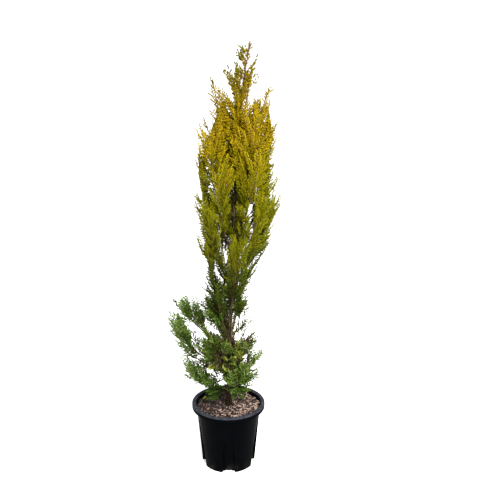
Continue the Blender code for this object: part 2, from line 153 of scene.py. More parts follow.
class Nodes:
    """A node tree of a material or of Geometry Nodes, written with one call for each node."""

    def __init__(self, tree):
        self.tree = tree

    def add(self, kind, settings=None, inputs=None, output=0):
        made = self.tree.nodes.new(kind)
        for name, value in (settings or {}).items():
            setattr(made, name, value)
        for name, value in (inputs or {}).items():
            self.feed(made.inputs[name], value)
        return Value(self, made.outputs[output]) if made.outputs else None

    def feed(self, socket, value):
        if isinstance(value, Value):
            self.tree.links.new(value.socket, socket)
        else:
            socket.default_value = value

    def maths(self, operation, *values):
        return self.add("ShaderNodeMath", {"operation": operation}, dict(enumerate(values)))

    def clamped(self, value, most):
        """The value, held between 0 and the most."""
        return self.maths("MAXIMUM", self.maths("MINIMUM", value, most), 0)


class Finish(Nodes):
    """A material with one Principled shader, which set() feeds by the names of its sockets."""

    def __init__(self, name, colour=(0.5, 0.5, 0.5), roughness=0.5, specular=0.5):
        self.material = bpy.data.materials.new(name)
        self.material.use_nodes = True
        super().__init__(self.material.node_tree)
        self.shader = self.tree.nodes["Principled BSDF"]
        self.set("Base Color", (*colour, 1))
        self.set("Roughness", roughness)
        self.set("Specular IOR Level", specular)

    def set(self, name, value):
        self.feed(self.shader.inputs[name], value)

    def place(self, stretch=(1, 1, 1)):
        """Where a point lies on the object, with each axis stretched."""
        here = self.add("ShaderNodeTexCoord", output="Object")
        return self.add("ShaderNodeMapping", inputs={"Vector": here, "Scale": stretch})

    def height(self):
        return self.add("ShaderNodeSeparateXYZ", inputs={0: self.place()}, output="Z")

    def attribute(self, name):
        return self.add("ShaderNodeAttribute", {"attribute_name": name}, output="Fac")

    def noise(self, scale, detail=2.0, stretch=(1, 1, 1)):
        inputs = {"Vector": self.place(stretch), "Scale": scale, "Detail": detail}
        return self.add("ShaderNodeTexNoise", inputs=inputs)

    def between(self, value, low, high):
        """From 0 where the value is low to 1 where it is high."""
        inputs = {"Value": value, "From Min": low, "From Max": high}
        return self.add("ShaderNodeMapRange", {"clamp": True}, inputs)

    def mixed(self, share, first, second):
        """A colour between two, each three numbers or another mix."""
        ends = [end if isinstance(end, Value) else (*end, 1) for end in (first, second)]
        inputs = {0: share, 6: ends[0], 7: ends[1]}
        return self.add("ShaderNodeMix", {"data_type": "RGBA"}, inputs, output=2)

    def bump(self, relief, depth, strength=1.0):
        inputs = {"Height": relief, "Distance": depth, "Strength": strength}
        self.set("Normal", self.add("ShaderNodeBump", inputs=inputs))


def pot_plastic():
    finish = Finish("black_pot_plastic", specular=0.007)
    height = finish.height()
    mottle = finish.noise(24, detail=4)
    smears = finish.noise(60, detail=5, stretch=(1, 1, 0.3))
    patches = finish.between(finish.noise(34, detail=6), 0.46, 0.70)
    foot = finish.between(height, 0.050, 0.000) * patches
    rim = finish.between(height, LIP_FOOT, LIP_FOOT + 0.005)
    lip = finish.between(height, RIM_UNDERSIDE, POT_HEIGHT) * patches
    dust = foot * 0.3 + lip * 0.2
    colour = finish.mixed(mottle, POT_BLACK, POT_CHARCOAL)
    scuffs = finish.between(smears, 0.36, 0.62)
    # Painted sheen: above LIP_FOOT the lip is mixed towards a lighter blue-grey, in scuffed streaks.
    colour = finish.mixed(rim * (0.4 + 0.6 * scuffs), colour, RIM_SHEEN_GREY)
    finish.set("Base Color", finish.mixed(dust, colour, SOIL_DUST))
    finish.set("Roughness", 0.34 + 0.22 * smears + 0.35 * dust)
    finish.bump(finish.noise(700) * 0.35 + finish.noise(9, detail=1) * 4, 0.0006, 0.7)
    return finish.material


def skin(rings, start=None, end=None):
    """Corners and faces of a mesh through rings of points, with a pole at either end if one is given."""
    rings = np.asarray(rings)
    count, sides = rings.shape[:2]
    corners = [tuple(point) for point in rings.reshape(-1, 3)]
    faces = []
    for ring in range(count - 1):
        low = ring * sides
        high = low + sides
        for side in range(sides):
            after = (side + 1) % sides
            faces.append((low + side, low + after, high + after, high + side))
    last = (count - 1) * sides
    for pole, ring, turned in ((start, 0, True), (end, last, False)):
        if pole is None:
            continue
        corners.append(tuple(pole))
        for side in range(sides):
            after = (side + 1) % sides
            pair = (ring + after, ring + side) if turned else (ring + side, ring + after)
            faces.append((*pair, len(corners) - 1))
    return corners, faces


def in_scene(name, data):
    made = bpy.data.objects.new(name, data)
    bpy.context.scene.collection.objects.link(made)
    return made


def new_piece(name, corners, faces, materials, linked=True):
    mesh = bpy.data.meshes.new(name)
    mesh.from_pydata(corners, [], faces)
    mesh.update()
    for finish in materials:
        mesh.materials.append(finish)
    return in_scene(name, mesh) if linked else bpy.data.objects.new(name, mesh)


def as_object(name, shape):
    """A working shape as an object of its own, outside the scene."""
    mesh = bpy.data.meshes.new(name)
    shape.to_mesh(mesh)
    shape.free()
    return bpy.data.objects.new(name, mesh)


def wall_radius(height):
    return WALL_FOOT_RADIUS + (WALL_TOP_RADIUS - WALL_FOOT_RADIUS) * height / SKIRT_FOOT


def flute_columns():
    """Columns of one flute: shares of its floor, its side and the wall beyond, inset and hand of each."""
    columns = [(step / FLUTE_FLOOR_COLUMNS, 0.0, 0.0, 1.0) for step in range(FLUTE_FLOOR_COLUMNS)]
    for step in range(FLUTE_SIDE_COLUMNS):
        share = step / FLUTE_SIDE_COLUMNS
        columns.append((1.0, share, 0.0, (1 + math.cos(math.pi * share)) / 2))
    columns += [(1.0, 1.0, step / FLUTE_PLAIN_COLUMNS, 0.0) for step in range(FLUTE_PLAIN_COLUMNS)]
    half = len(columns)
    columns.append((1.0, 1.0, 1.0, 0.0))
    mirrored = [(*columns[step], -1) for step in range(half - 1, 0, -1)]
    return [(*column, 1) for column in columns] + mirrored


def pot_ring(radius, height):
    """A ring of the pot's wall with its flutes pressed in, the first of them at the front."""
    down = min(max(1 - height / FLUTE_TOP, 0), 1)
    half = FLUTE_HALF_TURN_TOP + (FLUTE_HALF_TURN_FOOT - FLUTE_HALF_TURN_TOP) * down
    half += max(wall_radius(height) - radius, 0) / radius
    period = math.tau / FLUTES
    ring = []
    for flute in range(FLUTES):
        for floor, side, plain, inset, hand in flute_columns():
            edge = half + FLUTE_EDGE_TURN
            turn = half * floor + FLUTE_EDGE_TURN * side + (period / 2 - edge) * plain
            angle = (flute + (0 if hand > 0 else 1)) * period + hand * turn - math.pi / 2
            reach = radius - FLUTE_DEPTH * down * inset
            ring.append((reach * math.cos(angle), reach * math.sin(angle), height))
    return ring


def arc(centre, radius, start, end, steps):
    """Points of (radius, height) along an arc, in degrees from the outward direction."""
    turns = [math.radians(start + (end - start) * step / steps) for step in range(steps + 1)]
    return [(centre[0] + radius * math.cos(turn), centre[1] + radius * math.sin(turn)) for turn in turns]


def build_pot():
    steps = [step / WALL_RINGS for step in range(WALL_RINGS + 1)]
    foot = [(WALL_FOOT_RADIUS - FOOT_BEVEL, 0.0), (WALL_FOOT_RADIUS, FOOT_BEVEL)]
    outside = [(wall_radius(FLUTE_TOP * step), FLUTE_TOP * step) for step in steps[1:]]
    skirt = [
        (wall_radius(SKIRT_FOOT), SKIRT_FOOT + 0.001),
        (RIM_MOUTH_RADIUS + WALL, RIM_UNDERSIDE),
        (RIM_RADIUS - 0.0016 - WALL, RIM_UNDERSIDE),
        (RIM_RADIUS - 0.0012 - WALL, SKIRT_FOOT + 0.0004),
        (RIM_RADIUS - 0.0022, SKIRT_FOOT),
        (RIM_RADIUS - 0.0006, SKIRT_FOOT + 0.0012),
        (RIM_RADIUS - 0.0002, SKIRT_FOOT + 0.0060),
        (RIM_RADIUS - 0.0014, SKIRT_FOOT + 0.0078),
        (RIM_RADIUS - 0.0014, SKIRT_FOOT + 0.0092),
    ]
    lip = arc((RIM_RADIUS - LIP_RADIUS, POT_HEIGHT - LIP_RADIUS), LIP_RADIUS, -8, 90, 8)
    mouth_centre = (RIM_MOUTH_RADIUS + MOUTH_RADIUS, POT_HEIGHT - MOUTH_RADIUS)
    mouth = arc(mouth_centre, MOUTH_RADIUS, 90, 180, 6)
    inside = [(wall_radius(FLUTE_TOP * step) - WALL, FLUTE_TOP * step) for step in steps[::-1]]
    inside = [spot for spot in inside if spot[1] > FLOOR + 0.002]
    inside = [(RIM_MOUTH_RADIUS - 0.0028, SKIRT_FOOT + 0.004), *inside, (WALL_FOOT_RADIUS - WALL, FLOOR)]
    profile = [*foot, *outside, *skirt, *lip, *mouth, *inside]
    rings = [pot_ring(radius, height) for radius, height in profile]
    base = np.array(rings[0])
    for share, lift in zip(FOOT_RING_SHARES, (0, FOOT_HOLLOW)):
        rings.insert(0, base * (share, share, 1) + (0, 0, lift))
    corners, faces = skin(rings, (0, 0, FOOT_HOLLOW), (0, 0, FLOOR))
    pot = new_piece("pot_body", corners, faces, [])

    slots = bpy.data.collections.new("slots")
    for flute in range(FLUTES):
        box = bmesh.new()
        bmesh.ops.create_cube(box, size=1)
        turn = Matrix.Rotation(math.tau * flute / FLUTES - math.pi / 2, 4, "Z")
        middle = Matrix.Translation((WALL_FOOT_RADIUS - FLUTE_DEPTH, 0, 0))
        size = Matrix.Diagonal((SLOT_DEPTH, SLOT_WIDTH, 2 * SLOT_HEIGHT, 1))
        bmesh.ops.transform(box, matrix=turn @ middle @ size, verts=box.verts)
        slots.objects.link(as_object(f"slot_{flute + 1}", box))
    cut = pot.modifiers.new("drain slots", "BOOLEAN")
    cut.operation = "DIFFERENCE"
    cut.operand_type = "COLLECTION"
    cut.collection = slots
    made_plain(pot)
    discard(slots)
    pot.data.materials.clear()
    pot.data.materials.append(pot_plastic())
    pot.data.shade_smooth()
    pot.data.set_sharp_from_angle(angle=SHARP_EDGE)
    return pot


def made_plain(piece):
    """Put the mesh that the modifiers give in place of the piece's own, and drop them."""
    bpy.context.view_layer.update()
    graph = bpy.context.evaluated_depsgraph_get()
    mesh = bpy.data.meshes.new_from_object(piece.evaluated_get(graph), depsgraph=graph)
    piece.modifiers.clear()
    old = piece.data
    piece.data = mesh
    bpy.data.meshes.remove(old)
    return piece


def discard(collection):
    """Remove a collection of working shapes that the scene doesn't keep."""
    for shape in list(collection.objects):
        bpy.data.meshes.remove(shape.data)
    bpy.data.collections.remove(collection)


pot = build_pot()
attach(pot, "root")
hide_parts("pot")


# The potting mix
# Composted bark fills the pot to a little below its rim. The node keeps its lumpy surface, and loose
# chips and crumbs of bark lie all over it. Their tones are painted lighter towards the front right,
# where the lamp falls, and darker towards the left, as painted shade from the foliage.

MIX_TOP = 0.2500
MIX_LUMP = 0.0035
MIX_FLAT_RADIUS = 0.024
CHIP_EDGE_RADIUS = 0.1265
CHIP_INNER_RADIUS = 0.0165
CHIP_BED_LIFT = 0.0012
CHIP_DENSITY = 25000
CRUMB_DENSITY = 45000
CHIP_SHAPES = 6
CRUMB_SHAPES = 3
CRUMB_TONES = 3
SHAPE_SEED = 7
CHIP_CORNERS = 7
CHIP_LENGTH = 0.0190
CHIP_WIDTH = 0.0046
CHIP_THICKNESS = 0.0022
CRUMB_SIZE = 0.0036
# The way along which chip and crumb tones are painted lighter: painted light towards the front right,
# painted shade on the left.
PAINTED_LIGHT_WAY = (11.0, -6.0, 0.0)

DAMP_SOIL = (0.005, 0.003, 0.002)
DRY_SOIL = (0.014, 0.009, 0.006)
CHIP_TONES = (
    ("chip_black", (0.004, 0.003, 0.002)),
    ("chip_dark", (0.009, 0.005, 0.004)),
    ("chip_brown", (0.022, 0.013, 0.010)),
    ("chip_umber", (0.044, 0.027, 0.021)),
    ("chip_tan", (0.124, 0.083, 0.065)),
    ("chip_pale", (0.290, 0.210, 0.170)),
)


def mix_surface(x, y):
    """Height of the potting mix: low lumps that die out at the trunk and at the wall."""
    radius = math.hypot(x, y)
    wave = math.sin(61 * x + 1.1) * math.cos(53 * y - 0.4) + 0.6 * math.sin(117 * x - 83 * y)
    near = min(max((radius - MIX_FLAT_RADIUS) / 0.02, 0), 1)
    far = min(max((0.127 - radius) / 0.03, 0), 1)
    return MIX_TOP + MIX_LUMP * wave * near * far / 1.6 - 0.004 * (radius / 0.13) ** 4


def soil():
    finish = Finish("damp_soil", roughness=0.95, specular=0.2)
    crumbs = finish.noise(260, detail=6)
    finish.set("Base Color", finish.mixed(finish.between(crumbs, 0.35, 0.7), DAMP_SOIL, DRY_SOIL))
    finish.bump(crumbs, 0.004)
    return finish.material


def chip_shape(name, rng):
    """A splinter of bark: an uneven slab with seven corners, curled a little along its length."""
    outline = []
    for corner in range(CHIP_CORNERS):
        turn = math.tau * (corner + rng.uniform(-0.25, 0.25)) / CHIP_CORNERS
        along = CHIP_LENGTH / 2 * math.cos(turn) * rng.uniform(0.75, 1.1)
        across = CHIP_WIDTH / 2 * math.sin(turn) * rng.uniform(0.65, 1.2)
        outline.append((along, across))
    curl = rng.uniform(-14, 14)
    shape = bmesh.new()
    for lift, shrink in ((-0.5, 0.9), (0.5, 0.78)):
        level = CHIP_THICKNESS * lift * rng.uniform(0.7, 1.2)
        face = [shape.verts.new((x * shrink, y * shrink, level + curl * x * x)) for x, y in outline]
        shape.faces.new(face if lift > 0 else face[::-1])
    shape.verts.ensure_lookup_table()
    for corner in range(CHIP_CORNERS):
        after = (corner + 1) % CHIP_CORNERS
        ring = (corner, after, CHIP_CORNERS + after, CHIP_CORNERS + corner)
        shape.faces.new([shape.verts[spot] for spot in ring])
    return as_object(name, shape)


def crumb_shape(name, rng):
    """A crumb of soil: a ball of twenty faces, pushed out of round."""
    shape = bmesh.new()
    bmesh.ops.create_icosphere(shape, subdivisions=1, radius=CRUMB_SIZE / 2)
    for corner in shape.verts:
        corner.co *= rng.uniform(0.65, 1.25)
        corner.co.z *= 0.7
    return as_object(name, shape)


def tree_with_inputs(name, numbers, whole):
    """A Geometry Nodes tree and its group input: the mesh, the named numbers and a whole number."""
    tree = bpy.data.node_groups.new(name, "GeometryNodeTree")
    sockets = [("Geometry", "OUTPUT", "Geometry"), ("Geometry", "INPUT", "Geometry")]
    sockets += [(number, "INPUT", "Float") for number in numbers] + [(whole, "INPUT", "Int")]
    for socket, way, kind in sockets:
        tree.interface.new_socket(socket, in_out=way, socket_type="NodeSocket" + kind)
    nodes = Nodes(tree)
    return nodes, nodes.add("NodeGroupInput")


def random_number(nodes, low, high, seed):
    """A random number for each element, with its own seed."""
    inputs = {2: low, 3: high, 8: seed}
    return nodes.add("FunctionNodeRandomValue", {"data_type": "FLOAT"}, inputs, output=1)


def stored(nodes, geometry, name, value, domain):
    settings = {"data_type": "FLOAT", "domain": domain}
    inputs = {0: geometry, "Name": name, "Value": value}
    return nodes.add("GeometryNodeStoreNamedAttribute", settings, inputs)


def read(nodes, name, kind="FLOAT"):
    return nodes.add("GeometryNodeInputNamedAttribute", {"data_type": kind}, {"Name": name})


def finished(nodes, geometry, name, materials):
    """End a tree. Each material goes to the faces whose number, kept under the name, is nearest."""
    geometry = nodes.add("GeometryNodeRealizeInstances", inputs={"Geometry": geometry})
    for number, finish in materials.items():
        off = nodes.maths("ABSOLUTE", read(nodes, name) - number)
        chosen = nodes.maths("LESS_THAN", off, 0.5)
        inputs = {"Geometry": geometry, "Selection": chosen, "Material": finish}
        geometry = nodes.add("GeometryNodeSetMaterial", inputs=inputs)
    nodes.add("NodeGroupOutput", inputs={"Geometry": geometry})
    return nodes.tree


def instances(nodes, points, shapes, number, rotation, size):
    """The shapes of a collection on points, each point with the shape that has its number."""
    info = {"Collection": shapes, "Separate Children": True, "Reset Children": True}
    placed = {
        "Points": points,
        "Instance": nodes.add("GeometryNodeCollectionInfo", inputs=info),
        "Pick Instance": True,
        "Instance Index": number,
        "Rotation": rotation,
        "Scale": size,
    }
    return nodes.add("GeometryNodeInstanceOnPoints", inputs=placed)


def scatter_tree(name, shapes, materials):
    """Shapes strewn over a surface, each lying nearly flat on it, in one of the materials."""
    nodes, entry = tree_with_inputs(name, ("Density", "Tilt", "Least size", "Most size"), "Seed")
    seed = entry.other("Seed")
    spread = {"Mesh": entry, "Density": entry.other("Density"), "Seed": seed}
    points = nodes.add("GeometryNodeDistributePointsOnFaces", inputs=spread)
    tilt = entry.other("Tilt")
    lean = random_number(nodes, 0.0, 1.0, seed + 1) * tilt * 2 - tilt
    roll = random_number(nodes, 0.0, 1.0, seed + 2) * tilt * 2 - tilt
    turn = random_number(nodes, 0.0, math.tau, seed + 3)
    angles = nodes.add("ShaderNodeCombineXYZ", inputs={"X": roll, "Y": lean, "Z": turn})
    rotation = nodes.add("FunctionNodeEulerToRotation", inputs={"Euler": angles})
    size = random_number(nodes, 0.0, 1.0, seed + 4)
    size = entry.other("Least size") + (entry.other("Most size") - entry.other("Least size")) * size
    chosen = random_number(nodes, 0.0, float(len(shapes.objects)), seed + 5)
    made = instances(nodes, points, shapes, nodes.maths("FLOOR", chosen), rotation, size)
    # Painted light and shade: the tone is shifted lighter towards the front right and darker towards the
    # left.
    along = {0: nodes.add("GeometryNodeInputPosition"), 1: PAINTED_LIGHT_WAY}
    painted_light = nodes.add("ShaderNodeVectorMath", {"operation": "DOT_PRODUCT"}, along, output="Value")
    tone = random_number(nodes, -0.5, len(materials) - 0.5, seed + 6) + painted_light
    made = stored(nodes, made, "tone", nodes.clamped(tone, len(materials) - 1), "INSTANCE")
    return finished(nodes, made, "tone", materials)


def run_tree(piece, tree, values):
    """The piece after a Geometry Nodes tree with these values, as a plain mesh."""
    modifier = piece.modifiers.new(tree.name, "NODES")
    modifier.node_group = tree
    for item in tree.interface.items_tree:
        if item.item_type == "SOCKET" and item.in_out == "INPUT" and item.name in values:
            modifier[item.identifier] = values[item.name]
    return made_plain(piece)


def chip_bed(name):
    """A copy of the mix's surface, from near the trunk to the wall, for the chips to lie on."""
    radii = np.linspace(CHIP_INNER_RADIUS, CHIP_EDGE_RADIUS, 24)
    turns = np.linspace(0, math.tau, 72, endpoint=False)
    rings = []
    for radius in radii[::-1]:
        spots = [(radius * math.cos(turn), radius * math.sin(turn)) for turn in turns]
        rings.append([(x, y, mix_surface(x, y) + CHIP_BED_LIFT) for x, y in spots])
    corners, faces = skin(rings)
    return new_piece(name, corners, faces, [])


def strewn(name, shape_maker, shapes, materials, values):
    """One piece of shapes of a few kinds, strewn over the mix."""
    rng = random.Random(SHAPE_SEED)
    kinds = bpy.data.collections.new(name + "_shapes")
    for number in range(shapes):
        kinds.objects.link(shape_maker(f"{name}_shape_{number + 1}", rng))
    tree = scatter_tree(name, kinds, materials)
    made = run_tree(chip_bed(name), tree, values)
    discard(kinds)
    return made


soil_finish = soil()
mix_node = frame["nodes"]["potting_mix"]
for slot in mix_node.material_slots:
    slot.material = soil_finish

chip_finishes = {
    number: Finish(name, colour, roughness=0.9, specular=0.25).material
    for number, (name, colour) in enumerate(CHIP_TONES)
}
chips = strewn(
    "bark_chips", chip_shape, CHIP_SHAPES, chip_finishes,
    {"Density": CHIP_DENSITY, "Tilt": 0.42, "Least size": 0.55, "Most size": 1.35, "Seed": 3},
)
crumb_finishes = {number: chip_finishes[number] for number in range(CRUMB_TONES)}
crumbs = strewn(
    "soil_crumbs", crumb_shape, CRUMB_SHAPES, crumb_finishes,
    {"Density": CRUMB_DENSITY, "Tilt": 0.8, "Least size": 0.5, "Most size": 1.3, "Seed": 5},
)
for piece in (chips, crumbs):
    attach(piece, "root")


# The trunk
# One leader from the potting mix to the top, with a light root flare and a lean to the right. Its bark
# is thin and stringy and turns red-brown on the young wood of the leader. It is darker in its cracks,
# partly as painted shade, and a lighter tan on its raised strings, partly as a painted highlight. It
# is also darker towards its foot.

TRUNK_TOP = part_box("trunk")[1].z
TRUNK_LEAN = 0.046
TIP_HOOK = 0.038
TRUNK_FOOT_RADIUS = 0.0092
TRUNK_TIP_RADIUS = 0.0014
ROOT_FLARE = 0.0052
FLARE_HEIGHT = 0.030
FLARE_LOBES = 5
TRUNK_RING_STEP = 0.0022
TRUNK_SIDES = 36
COLLAR_SWELL = 0.24
COLLAR_HEIGHT = 0.007
COLLAR_TURN = 0.55

BARK_CRACK = (0.010, 0.006, 0.003)
BARK_BROWN = (0.046, 0.032, 0.014)
BARK_TAN = (0.125, 0.092, 0.048)
YOUNG_BARK = (0.070, 0.032, 0.013)
YOUNG_GIRTHS = (0.0032, 0.0015)
YOUNG_SHARE = 0.75
# Heights over which the bark darkens towards its foot, and how far.
FOOT_DARK_HEIGHTS = (0.44, 0.29)
FOOT_DARK_SHARE = 0.85


def trunk_share(height):
    return (height - MIX_TOP) / (TRUNK_TOP - MIX_TOP)


def trunk_centre(height):
    share = max(trunk_share(height), 0)
    lean = TRUNK_LEAN * share ** 1.15 + TIP_HOOK * share ** 6
    return Vector((lean, 0.004 * math.sin(5 * share), height))


def trunk_radius(height):
    taper = TRUNK_TIP_RADIUS + (TRUNK_FOOT_RADIUS - TRUNK_TIP_RADIUS) * (1 - trunk_share(height))
    return taper + ROOT_FLARE * math.exp((MIX_TOP - height) / FLARE_HEIGHT)


def rings_along(points, radii, sides):
    """Rings of points round a path, and the spokes that lead out to them."""
    points = np.array(points)
    headings = np.gradient(points, axis=0)
    headings /= np.linalg.norm(headings, axis=1)[:, None]
    turns = np.linspace(0, math.tau, sides, endpoint=False)
    across = np.array((0.0, -1.0, 0.0))
    if abs(headings[0][1]) > 0.9:
        across = np.array((1.0, 0.0, 0.0))
    spokes = []
    for heading in headings:
        across = across - heading * across.dot(heading)
        across /= np.linalg.norm(across)
        beside = np.cross(heading, across)
        spokes.append(np.outer(np.cos(turns), across) + np.outer(np.sin(turns), beside))
    spokes = np.array(spokes)
    return points[:, None] + spokes * np.array(radii)[:, None, None], spokes


def bark_relief(sides, along):
    """Height of the bark's ridges at a ring's corners, from -1 to 1: strings that run up the limb."""
    relief = []
    for side in range(sides):
        turn = math.tau * side / sides
        spot = Vector((2.6 * math.cos(turn), 2.6 * math.sin(turn), 26 * along))
        strings = noise.fractal(spot, 0.7, 2.1, 4)
        scales = noise.noise(Vector((1.3 * math.cos(turn), 1.3 * math.sin(turn), 140 * along)))
        relief.append(strings + 0.35 * scales)
    return relief


def bark():
    finish = Finish("cypress_bark", specular=0.08)
    young = finish.between(finish.attribute("girth"), *YOUNG_GIRTHS)
    fibres = finish.noise(420, detail=4, stretch=(1, 1, 0.12))
    patches = finish.noise(30, detail=3)
    # Darker in the cracks and lighter tan on the raised strings: partly the bark's own colour, partly
    # painted shade and a painted highlight.
    ridges = finish.between(finish.attribute("relief") + fibres - 0.5, -0.45, 0.55)
    colour = finish.mixed(ridges, BARK_CRACK, BARK_BROWN)
    colour = finish.mixed(finish.between(ridges * patches, 0.28, 0.55), colour, BARK_TAN)
    colour = finish.mixed(young * YOUNG_SHARE, colour, YOUNG_BARK)
    # Lower down the bark is mixed towards its crack colour, so the trunk is darker towards its foot.
    foot_dark = finish.between(finish.height(), *FOOT_DARK_HEIGHTS)
    colour = finish.mixed(foot_dark * FOOT_DARK_SHARE, colour, BARK_CRACK)
    finish.set("Base Color", colour)
    finish.set("Roughness", 0.78 + 0.18 * fibres)
    finish.bump(fibres + finish.noise(900) * 0.4, 0.0007)
    return finish.material


def bark_piece(name, tubes, materials):
    """One piece of closed bark tubes. Each is its rings, ridges and radii, and its two end points."""
    corners = []
    faces = []
    relief = []
    girths = []
    for rings, ridges, radii, start, end in tubes:
        spots, sides = skin(rings, start, end)
        first = len(corners)
        corners += spots
        faces += [tuple(first + corner for corner in face) for face in sides]
        around = len(rings[0])
        relief += [ridge for ring in ridges for ridge in ring]
        girths += list(np.repeat(radii, around))
        poles = len(spots) - len(rings) * around
        relief += [0.0] * poles
        girths += [radii[-1]] * poles
    made = new_piece(name, corners, faces, materials)
    for attribute, values in (("relief", relief), ("girth", girths)):
        layer = made.data.attributes.new(attribute, "FLOAT", "POINT")
        layer.data.foreach_set("value", values)
    made.data.shade_smooth()
    return made


def trunk_tube(knots):
    """The trunk's rings. A knot is the height and turn at which a limb leaves it."""
    count = round((TRUNK_TOP - MIX_TOP) / TRUNK_RING_STEP)
    heights = np.linspace(MIX_TOP, TRUNK_TOP, count)
    radii = np.array([trunk_radius(height) for height in heights])
    rings, spokes = rings_along([trunk_centre(height) for height in heights], radii, TRUNK_SIDES)
    ridges = [bark_relief(TRUNK_SIDES, height) for height in heights]
    turns = np.arctan2(spokes[:, :, 1], spokes[:, :, 0])
    fade = np.exp((MIX_TOP - heights) / FLARE_HEIGHT)[:, None]
    swell = 0.16 * fade * np.cos(FLARE_LOBES * turns + 0.8)
    for height, turn in knots:
        apart = (turns - turn + math.pi) % math.tau - math.pi
        rise = (heights - height)[:, None]
        off = (rise / COLLAR_HEIGHT) ** 2 + (apart / COLLAR_TURN) ** 2
        swell = swell + COLLAR_SWELL * np.exp(-off)
    depth = 0.05 * radii + 0.00012
    rings = rings + spokes * (radii[:, None] * swell + depth[:, None] * np.array(ridges))[:, :, None]
    rings[0][:, 2] = MIX_TOP
    tip = trunk_centre(TRUNK_TOP) + Vector((0.0002, 0, 0.0006))
    return rings, ridges, radii, trunk_centre(MIX_TOP), tip


# The limbs
# Upswept limbs spiral round the trunk in nine tiers, each a little higher than the one before, and bow
# up to the outline of the crown. They are thin, dark and slightly crooked, and swell where they join.

OUTLINE = (
    (0.300, 0.135, 0.130),
    (0.450, 0.210, 0.140),
    (0.560, 0.245, 0.120),
    (0.700, 0.260, 0.040),
    (0.780, 0.100, 0.060),
    (0.900, 0.108, 0.092),
    (1.080, 0.150, 0.160),
    (1.330, 0.155, 0.140),
    (1.525, 0.138, 0.120),
    (1.590, 0.062, 0.045),
    (1.680, 0.020, 0.016),
)
SPRAY_OVERHANG = 0.07
SPRAY_LENGTH = 0.080
END_SPRAY_SHARE = 0.50

Tier = namedtuple("Tier", "name limbs foot rise start bow bare twig radius bough slot")
TIERS = [Tier(*row) for row in (
    ("low", 4, 0.305, 0.100, 200, 1.25, 0.22, 0.040, 0.0024, False, "foliage_green"),
    ("skirt", 5, 0.385, 0.165, 180, 1.30, 0.36, 0.046, 0.0030, True, "foliage_green"),
    ("spread", 5, 0.475, 0.225, 172, 1.25, 0.40, 0.046, 0.0030, True, "foliage_green"),
    ("waist", 4, 0.600, 0.330, 190, 1.25, 0.08, 0.036, 0.0028, False, "foliage_lime"),
    ("lower", 5, 0.735, 0.335, 226, 1.50, 0.12, 0.046, 0.0032, False, "foliage_lime"),
    ("middle", 5, 0.880, 0.340, 234, 1.90, 0.26, 0.054, 0.0034, True, "foliage_lime"),
    ("upper", 5, 1.035, 0.370, 216, 1.90, 0.12, 0.054, 0.0031, False, "foliage_gold"),
    ("top", 5, 1.210, 0.330, 184, 1.90, 0.10, 0.046, 0.0028, False, "foliage_gold"),
    ("tip", 3, 1.400, 0.195, 228, 1.60, 0.08, 0.030, 0.0013, False, "foliage_gold"),
)]
LIMB_STEP = 0.016
TIP_LIMB_STEP = 0.045
LIMB_WANDER = math.radians(9)
LIMB_TIP_RADIUS = 0.0008
LIMB_CROOK = 0.0022
CROOK_SHIFTS = (11.3, 47.1, 83.9)
LIMB_RING_STEP = 0.0045
LIMB_SIDES = 10
JOINT_SWELL = 0.5
JOINT_LENGTH = 0.006
LIMB_SEED = 41


def outline_reach(height, turn, outline=OUTLINE):
    """Reach of the crown from the trunk, at a height and in a direction."""
    heights, left, right = zip(*outline)
    to_left = float(np.interp(height, heights, left))
    to_right = float(np.interp(height, heights, right))
    return (to_left + to_right) / 2 - (to_left - to_right) / 2 * math.cos(turn)


def crook_at(spot):
    """The sideways drift of a crooked limb: one smooth noise for each axis, the same in each run."""
    return Vector([noise.noise(spot + Vector((0, 0, shift))) for shift in CROOK_SHIFTS])


class Limb:
    """One upswept limb: where it leaves the trunk, and the curve that it follows."""

    def __init__(self, tier, number, rng):
        stride = 2 if tier.limbs > 4 else 1
        self.tier = tier
        self.label = f"{tier.name}_{number + 1}"
        self.turn = math.radians(tier.start) + math.tau * stride * number / tier.limbs
        self.turn += rng.uniform(-LIMB_WANDER, LIMB_WANDER)
        self.foot = tier.foot + (TIP_LIMB_STEP if tier.name == "tip" else LIMB_STEP) * number
        self.rise = tier.rise * rng.uniform(0.94, 1.06)
        self.twist = rng.uniform(-0.2, 0.2)
        self.reach = outline_reach(self.foot + self.rise, self.turn) * (1 - SPRAY_OVERHANG)
        self.reach *= rng.uniform(0.95, 1.05)
        self.seed = rng.random()

    def at(self, share):
        out = self.reach * (1 - max(1 - share, 0) ** self.tier.bow)
        turn = self.turn + self.twist * share
        centre = trunk_centre(self.foot + self.rise * share)
        crook = LIMB_CROOK * min(max(4 * share, 0), 1)
        sway = crook_at(Vector((9 * share, 40 * self.seed, self.foot))) * crook
        return centre + Vector((math.cos(turn), math.sin(turn), 0)) * out + sway

    def heading(self, share):
        return (self.at(min(share + 0.02, 1.0)) - self.at(share - 0.02)).normalized()

    def length(self):
        spots = [self.at(step / 20) for step in range(21)]
        return sum((second - first).length for first, second in zip(spots, spots[1:]))

    def radius(self, share):
        return LIMB_TIP_RADIUS + (self.tier.radius - LIMB_TIP_RADIUS) * max(1 - share, 0) ** 0.8


def limb_tube(limb, end):
    """A limb's rings, from the heart of the trunk to where its end spray starts."""
    length = limb.length()
    shares = np.linspace(0, end, round(length * end / LIMB_RING_STEP))
    points = [limb.at(share) for share in shares]
    hidden = trunk_radius(limb.foot)
    radii = []
    for point, share in zip(points, shares):
        out = (point - trunk_centre(point.z)).length
        swell = JOINT_SWELL * math.exp(-max(out - hidden, 0) / JOINT_LENGTH)
        radii.append(limb.radius(share) * (1 + swell))
    rings, spokes = rings_along(points, radii, LIMB_SIDES)
    ridges = [bark_relief(LIMB_SIDES, 3 * limb.seed + share * length) for share in shares]
    depth = 0.07 * np.array(radii) + 0.00006
    rings = rings + spokes * (depth[:, None] * np.array(ridges))[:, :, None]
    return rings, ridges, radii, points[0], points[-1]


